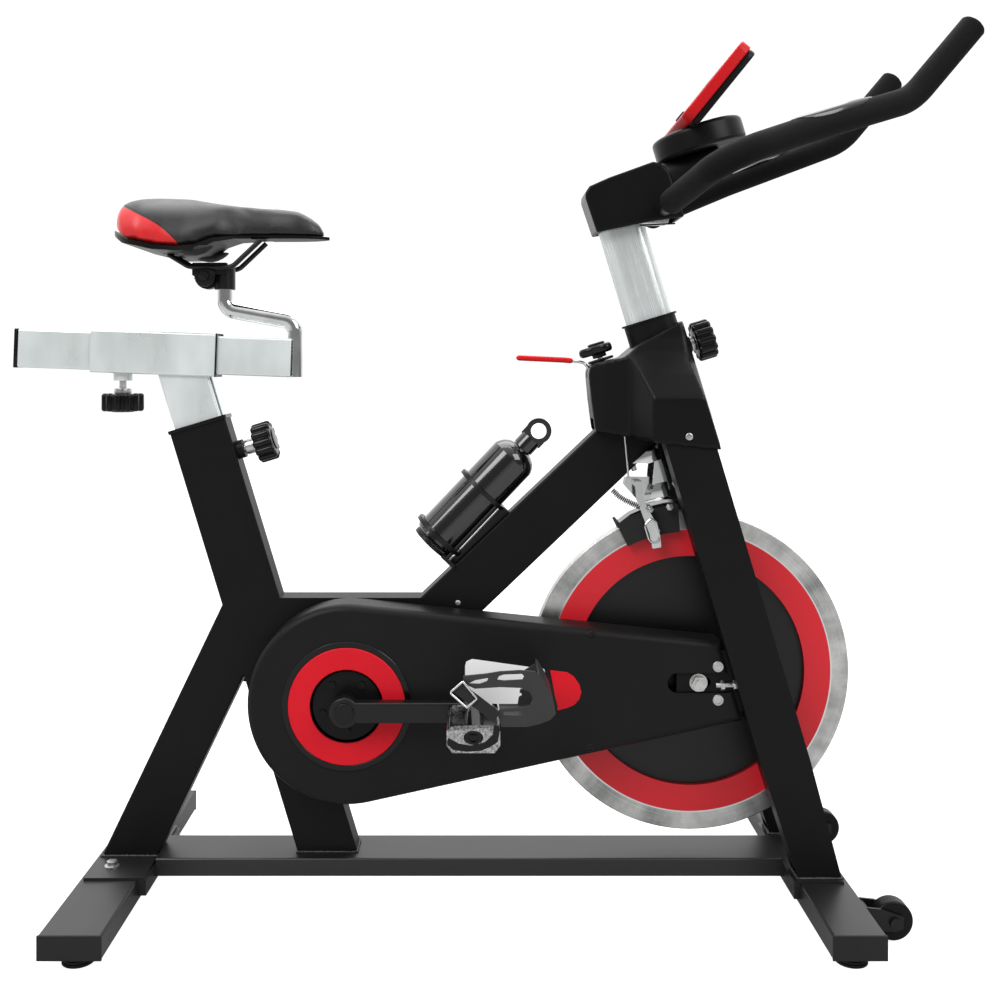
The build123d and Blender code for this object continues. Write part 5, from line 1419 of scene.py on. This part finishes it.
def pedal_of(side_name, x, s):
    """One pedal: two windowed plates, two toothed bars and the core that turns on the spindle."""
    body = "pedal_" + side_name
    near, far = (-205, -116) if s < 0 else (116, 205)
    plates = prism(body + "_plates", [(x + a, b) for a, b in PEDAL_OUTLINE], "Y", near, far)
    combine(plates, prism("inside", [(x - 29.5, 240), (x + 29.5, 240), (x + 29.5, 300), (x - 29.5, 300)], "Y",
                          near + 3, far - 3), "DIFFERENCE")
    eye = [(x + 12.0 * math.cos(a), 276 + 8.5 * math.sin(a)) for a in [2 * math.pi * k / 32 for k in range(32)]]
    combine(plates, prism("eye", eye, "Y", -220, 220), "DIFFERENCE")
    for k in range(9):
        y = near + 8 + (far - near - 16) * k / 8
        for low in (254, 286.5):
            tooth = [(x - 40, low), (x + 40, low), (x + 40, low + 6), (x - 40, low + 6)]
            combine(plates, prism("gap", tooth, "Y", y - 2.0, y + 2.0), "DIFFERENCE")
    add_bevel(plates, 0.5 * MM, 2)
    bake(plates)
    for material_slot in plates.material_slots:
        material_slot.material = pedal_alloy
    plates.data.shade_smooth()
    plates.data.set_sharp_from_angle(angle=math.radians(35))
    settle(plates, body, "pedal_body", body)
    bm = bmesh.new()
    for a, b, radius in ((near + 0.8, far - 0.6, 11.2), (near + 3.2, far - 3.2, 13.0)):
        turn_loop(bm, Vector((x, a, 276)) * MM, (0, 1, 0), [(6.2, 0), (radius - 0.8, 0), (radius, 0.8),
                                                            (radius, b - a - 0.8), (radius - 0.8, b - a),
                                                            (6.2, b - a)], 40)
    push_outline(bm, [(x - 29, 271), (x + 29, 271), (x + 29, 278), (x - 29, 278)], near + 3.2, far - 3.2)
    band = [(x + a, b) for a, b in PEDAL_BAND]
    push_outline(bm, band, near - 0.5, near + 0.6)
    push_outline(bm, band, far - 0.6, far + 0.5)
    settle(put(body + "_core", mesh_from(bm, body + "_core"), knob_plastic), body, "pedal_body")


pedal_of("right", -7.5, -1)
pedal_of("left", -347.5, 1)
print("pedals made")

# %% Toe cages, straps and buckles
CAGE_SIDE = [(-20, 342), (-20, 351), (7, 353.5), (25, 356.5), (50, 358), (68, 356.5), (76, 350),
             (85.5, 334), (91.5, 319),
             (94, 304.5), (87, 297), (74, 292), (58, 288.5), (27, 288.5), (22.5, 302), (25, 310.5), (62, 313),
             (66, 322), (62, 331.5), (50, 336.5), (25, 337.5), (-5.5, 335.5)]
CAGE_ROOM = [(-40, 348), (7, 350), (25, 353), (49, 354.5), (66, 353.2), (73, 347.5), (82, 333), (88, 318.6),
             (90.3, 305.6),
             (85.5, 300), (73.4, 295.4), (57.5, 292), (-40, 292)]
CAGE_LEAF = [(-14, 341.5), (-5.5, 346), (11, 348.8), (9.5, 344.5), (0.6, 341.2)]
CAGE_SLOT = [(21.5, 346.3), (24, 351), (30, 353), (52, 353.8), (55, 351), (53, 346.5), (30, 345.2)]
CAGE_LOW_SLOT = [(29, 303), (31, 307.3), (54, 308), (56, 305), (51, 302.2)]
CAGE_OPEN = [(-45, 293), (50, 293), (57, 336), (73, 346), (75, 375), (-45, 375)]
BUCKLE = [(-36.3, 332.8), (-20.3, 346.4), (-3.1, 325.4), (-15.4, 314.4)]


def shifted(outline, dx):
    """The same side outline moved forward by dx."""
    return [(x + dx, z) for x, z in outline]


def toe_cage_of(side_name, dx, s):
    """One toe cage with its windows, its strap and its buckle."""
    body = "pedal_" + side_name
    low, high = (-203, -122) if s < 0 else (122, 203)
    cage = prism("toe_cage_" + side_name + "_shell", shifted(CAGE_SIDE, dx), "Y", low, high)
    combine(cage, prism("room", shifted(CAGE_ROOM, dx), "Y", low + 3, high - 3), "DIFFERENCE")
    for outline in (CAGE_LEAF, CAGE_SLOT, CAGE_LOW_SLOT):
        combine(cage, prism("window", shifted(outline, dx), "Y", -230, 230), "DIFFERENCE")
    open_span = (low + 3.2, high + 3) if s < 0 else (low - 3, high - 3.2)
    combine(cage, prism("open_back", shifted(CAGE_OPEN, dx), "Y", *open_span), "DIFFERENCE")
    add_bevel(cage, 0.7 * MM, 3)
    bake(cage)
    for material_slot in cage.material_slots:
        material_slot.material = cage_resin
    cage.data.shade_smooth()
    cage.data.set_sharp_from_angle(angle=math.radians(40))
    settle(cage, body, "black_plastic", "toe_cage_" + side_name)
    outside = low if s < 0 else high
    strap = bmesh.new()
    face, back = outside + s * 6.0, outside + s * 3.4
    push_outline(strap, shifted([(-32, 333), (-23, 345), (25.5, 308), (17.5, 296.5)], dx), min(face, back),
                 max(face, back))
    settle(put(body + "_strap", mesh_from(strap, body + "_strap"), webbing), body, "black_plastic")
    wire_line = [Vector((x + dx, outside + s * 7.2, z)) * MM for x, z in BUCKLE]
    loop = run_tree(body + "_buckle", chain("buckle_line", wire_line, True), tube_tree, chrome, Radius=0.0014,
                    End_Round=0.0001, Step=0.002, Sides=12)
    settle(loop, body, "chrome")


toe_cage_of("right", 0.0, -1)
toe_cage_of("left", -340.0, 1)
print("toe cages made")

# %% [markdown]
# ## Brake fittings
# The felt pad hangs from a plated arm. A short spring, a wire loop, three nuts and small stamped plates sit
# round its pivot. The spring is one row of beads along an arc, close enough to read as coils.

# %% Brake spring, plates and nuts
SPRING_Y, NUT_Y, PIN_Y, LOOP_Y = -27.5, -31.0, -36.0, -31.5
spring_arc = [Vector((x, SPRING_Y, z)) * MM for x, z in ((186, 560), (194, 552), (203, 546.5), (213, 542),
                                                         (222, 538))]
spring = run_tree("brake_spring", chain("spring_arc", spring_arc), bead_tree, black_steel, Spacing=0.0026,
                  Bead_Size=(0.0010, 0.0046, 0.0046), Unevenness=0.0, Seed=1)
settle(spring, "brake_arm", "black_steel")
plate_of("brake_top_plate", [(238, 621), (248, 618.5), (252, 604), (235, 598), (212, 598)], -33, -31,
         chrome, "root",
         "zinc_steel", 0.5)
plate_of("brake_side_plate", [(242, 569), (260, 573), (264, 553), (235, 549)], -33.5, -31.5, chrome, "root",
         "zinc_steel", 0.5)
bm = bmesh.new()
for x, z, radius in ((276.0, 570.0, 8.0), (236.0, 535.0, 5.0), (263.0, 538.0, 5.0)):
    turn_profile(bm, Vector((x, NUT_Y, z)) * MM, NEAR, rounded_profile(radius * MM, 0.0, 0.0056, 0.0008, 3),
                 6)
    turn_profile(bm, Vector((x, PIN_Y, z)) * MM, NEAR, rounded_profile(radius * 0.55 * MM, 0.0, 0.0036,
                                                                       0.0008, 3), 20)
piece_from(bm, "brake_nuts", zinc_steel, "brake_arm", "chrome")
loop_line = [Vector((x, LOOP_Y, z)) * MM for x, z in ((229, 512.5), (235, 492.5), (240, 488), (248, 490),
                                                      (250, 496.5), (245, 516.5),
                                                     (238, 521.5))]
wire_loop = run_tree("brake_loop", chain("loop_line", loop_line, True), tube_tree, chrome, Radius=0.0017,
                     End_Round=0.0001,
                     Step=0.0015, Sides=12)
settle(wire_loop, "brake_arm", "chrome")
print("brake fittings made")

# %% [markdown]
# ## Small finishing pieces
# Dust caps on the crank axle, a plastic plug in the end of the saddle slider, the sleeve's black liner, the fine
# rod under the housing, and weld beads where tubes stand on plates. Beads are Geometry Nodes along each seam.

# %% Caps, liner and welds
bm = bmesh.new()
for s in (-1, 1):
    turn_profile(bm, CRANK + Vector((0.0, s * 0.1075, 0.0)), (0, s, 0),
                 rounded_profile(0.0132, 0.0, 0.0036, 0.0012), 48)
piece_from(bm, "crank_dust_caps", knob_plastic, "crank", "black_plastic")
SLOPE = math.radians(2.1)
SLIDER_RUN = Vector((math.cos(SLOPE), 0.0, -math.sin(SLOPE)))
SLIDER_RISE = Vector((math.sin(SLOPE), 0.0, math.cos(SLOPE)))
SLIDER_MIDDLE = Vector((-453.5, 0.0, 750.6))


def across_slider(along_run, rise):
    """X and Z in millimetres of a point on the slider's own axes."""
    place = SLIDER_MIDDLE + SLIDER_RUN * along_run + SLIDER_RISE * rise
    return place.x, place.z


def slider_box(near, far, half):
    """The side outline of a short length of the slider's section."""
    return [across_slider(near, -half), across_slider(far, -half), across_slider(far, half),
            across_slider(near, half)]


plate_of("slider_plug", slider_box(-195.0, -188.5, 27.4), -17.4, 17.4, knob_plastic, "saddle_slider",
         "black_plastic", 1.2)
liner = prism("sleeve_liner", slider_box(86.6, 88.6, 30.4), "Y", -20.4, 20.4)
combine(liner, prism("slider_room", slider_box(80.0, 95.0, 27.3), "Y", -17.3, 17.3), "DIFFERENCE")
settle(liner, "seat_post", "black_plastic")
housing_rod = run_tree("housing_rod", chain("rod_line", [Vector((224, -18, 928.5)) * MM,
                                                         Vector((274, -18, 931)) * MM]), tube_tree,
                       black_steel, Radius=0.0012, End_Round=0.0008, Step=0.001, Sides=10)
settle(housing_rod, "bar_post", "black_steel")


def seam_round(x, y, z):
    """The seam where a tube stands on a plate: a rectangle between two X and two Y values."""
    corners = [(x[0], y[0]), (x[1], y[0]), (x[1], y[1]), (x[0], y[1])]
    return [Vector((a, b, z)) * MM for a, b in corners]


seams = [seam_round((-251.5, -169.5), (-20.5, 20.5), 56.8), seam_round((-524, -447), (-20.5, 20.5), 51.2)]
seams += [seam_round((424, 483), span, 51.2) for span in ((-90.5, -54.5), (54.5, 90.5))]
welds = run_tree("weld_beads", chains("seams", seams, True), bead_tree, stabilizer_paint, Spacing=0.0032,
                 Bead_Size=(0.0030, 0.0024, 0.0024), Unevenness=0.18, Seed=11)
settle(welds, "root", "frame_paint")
print("small pieces made")
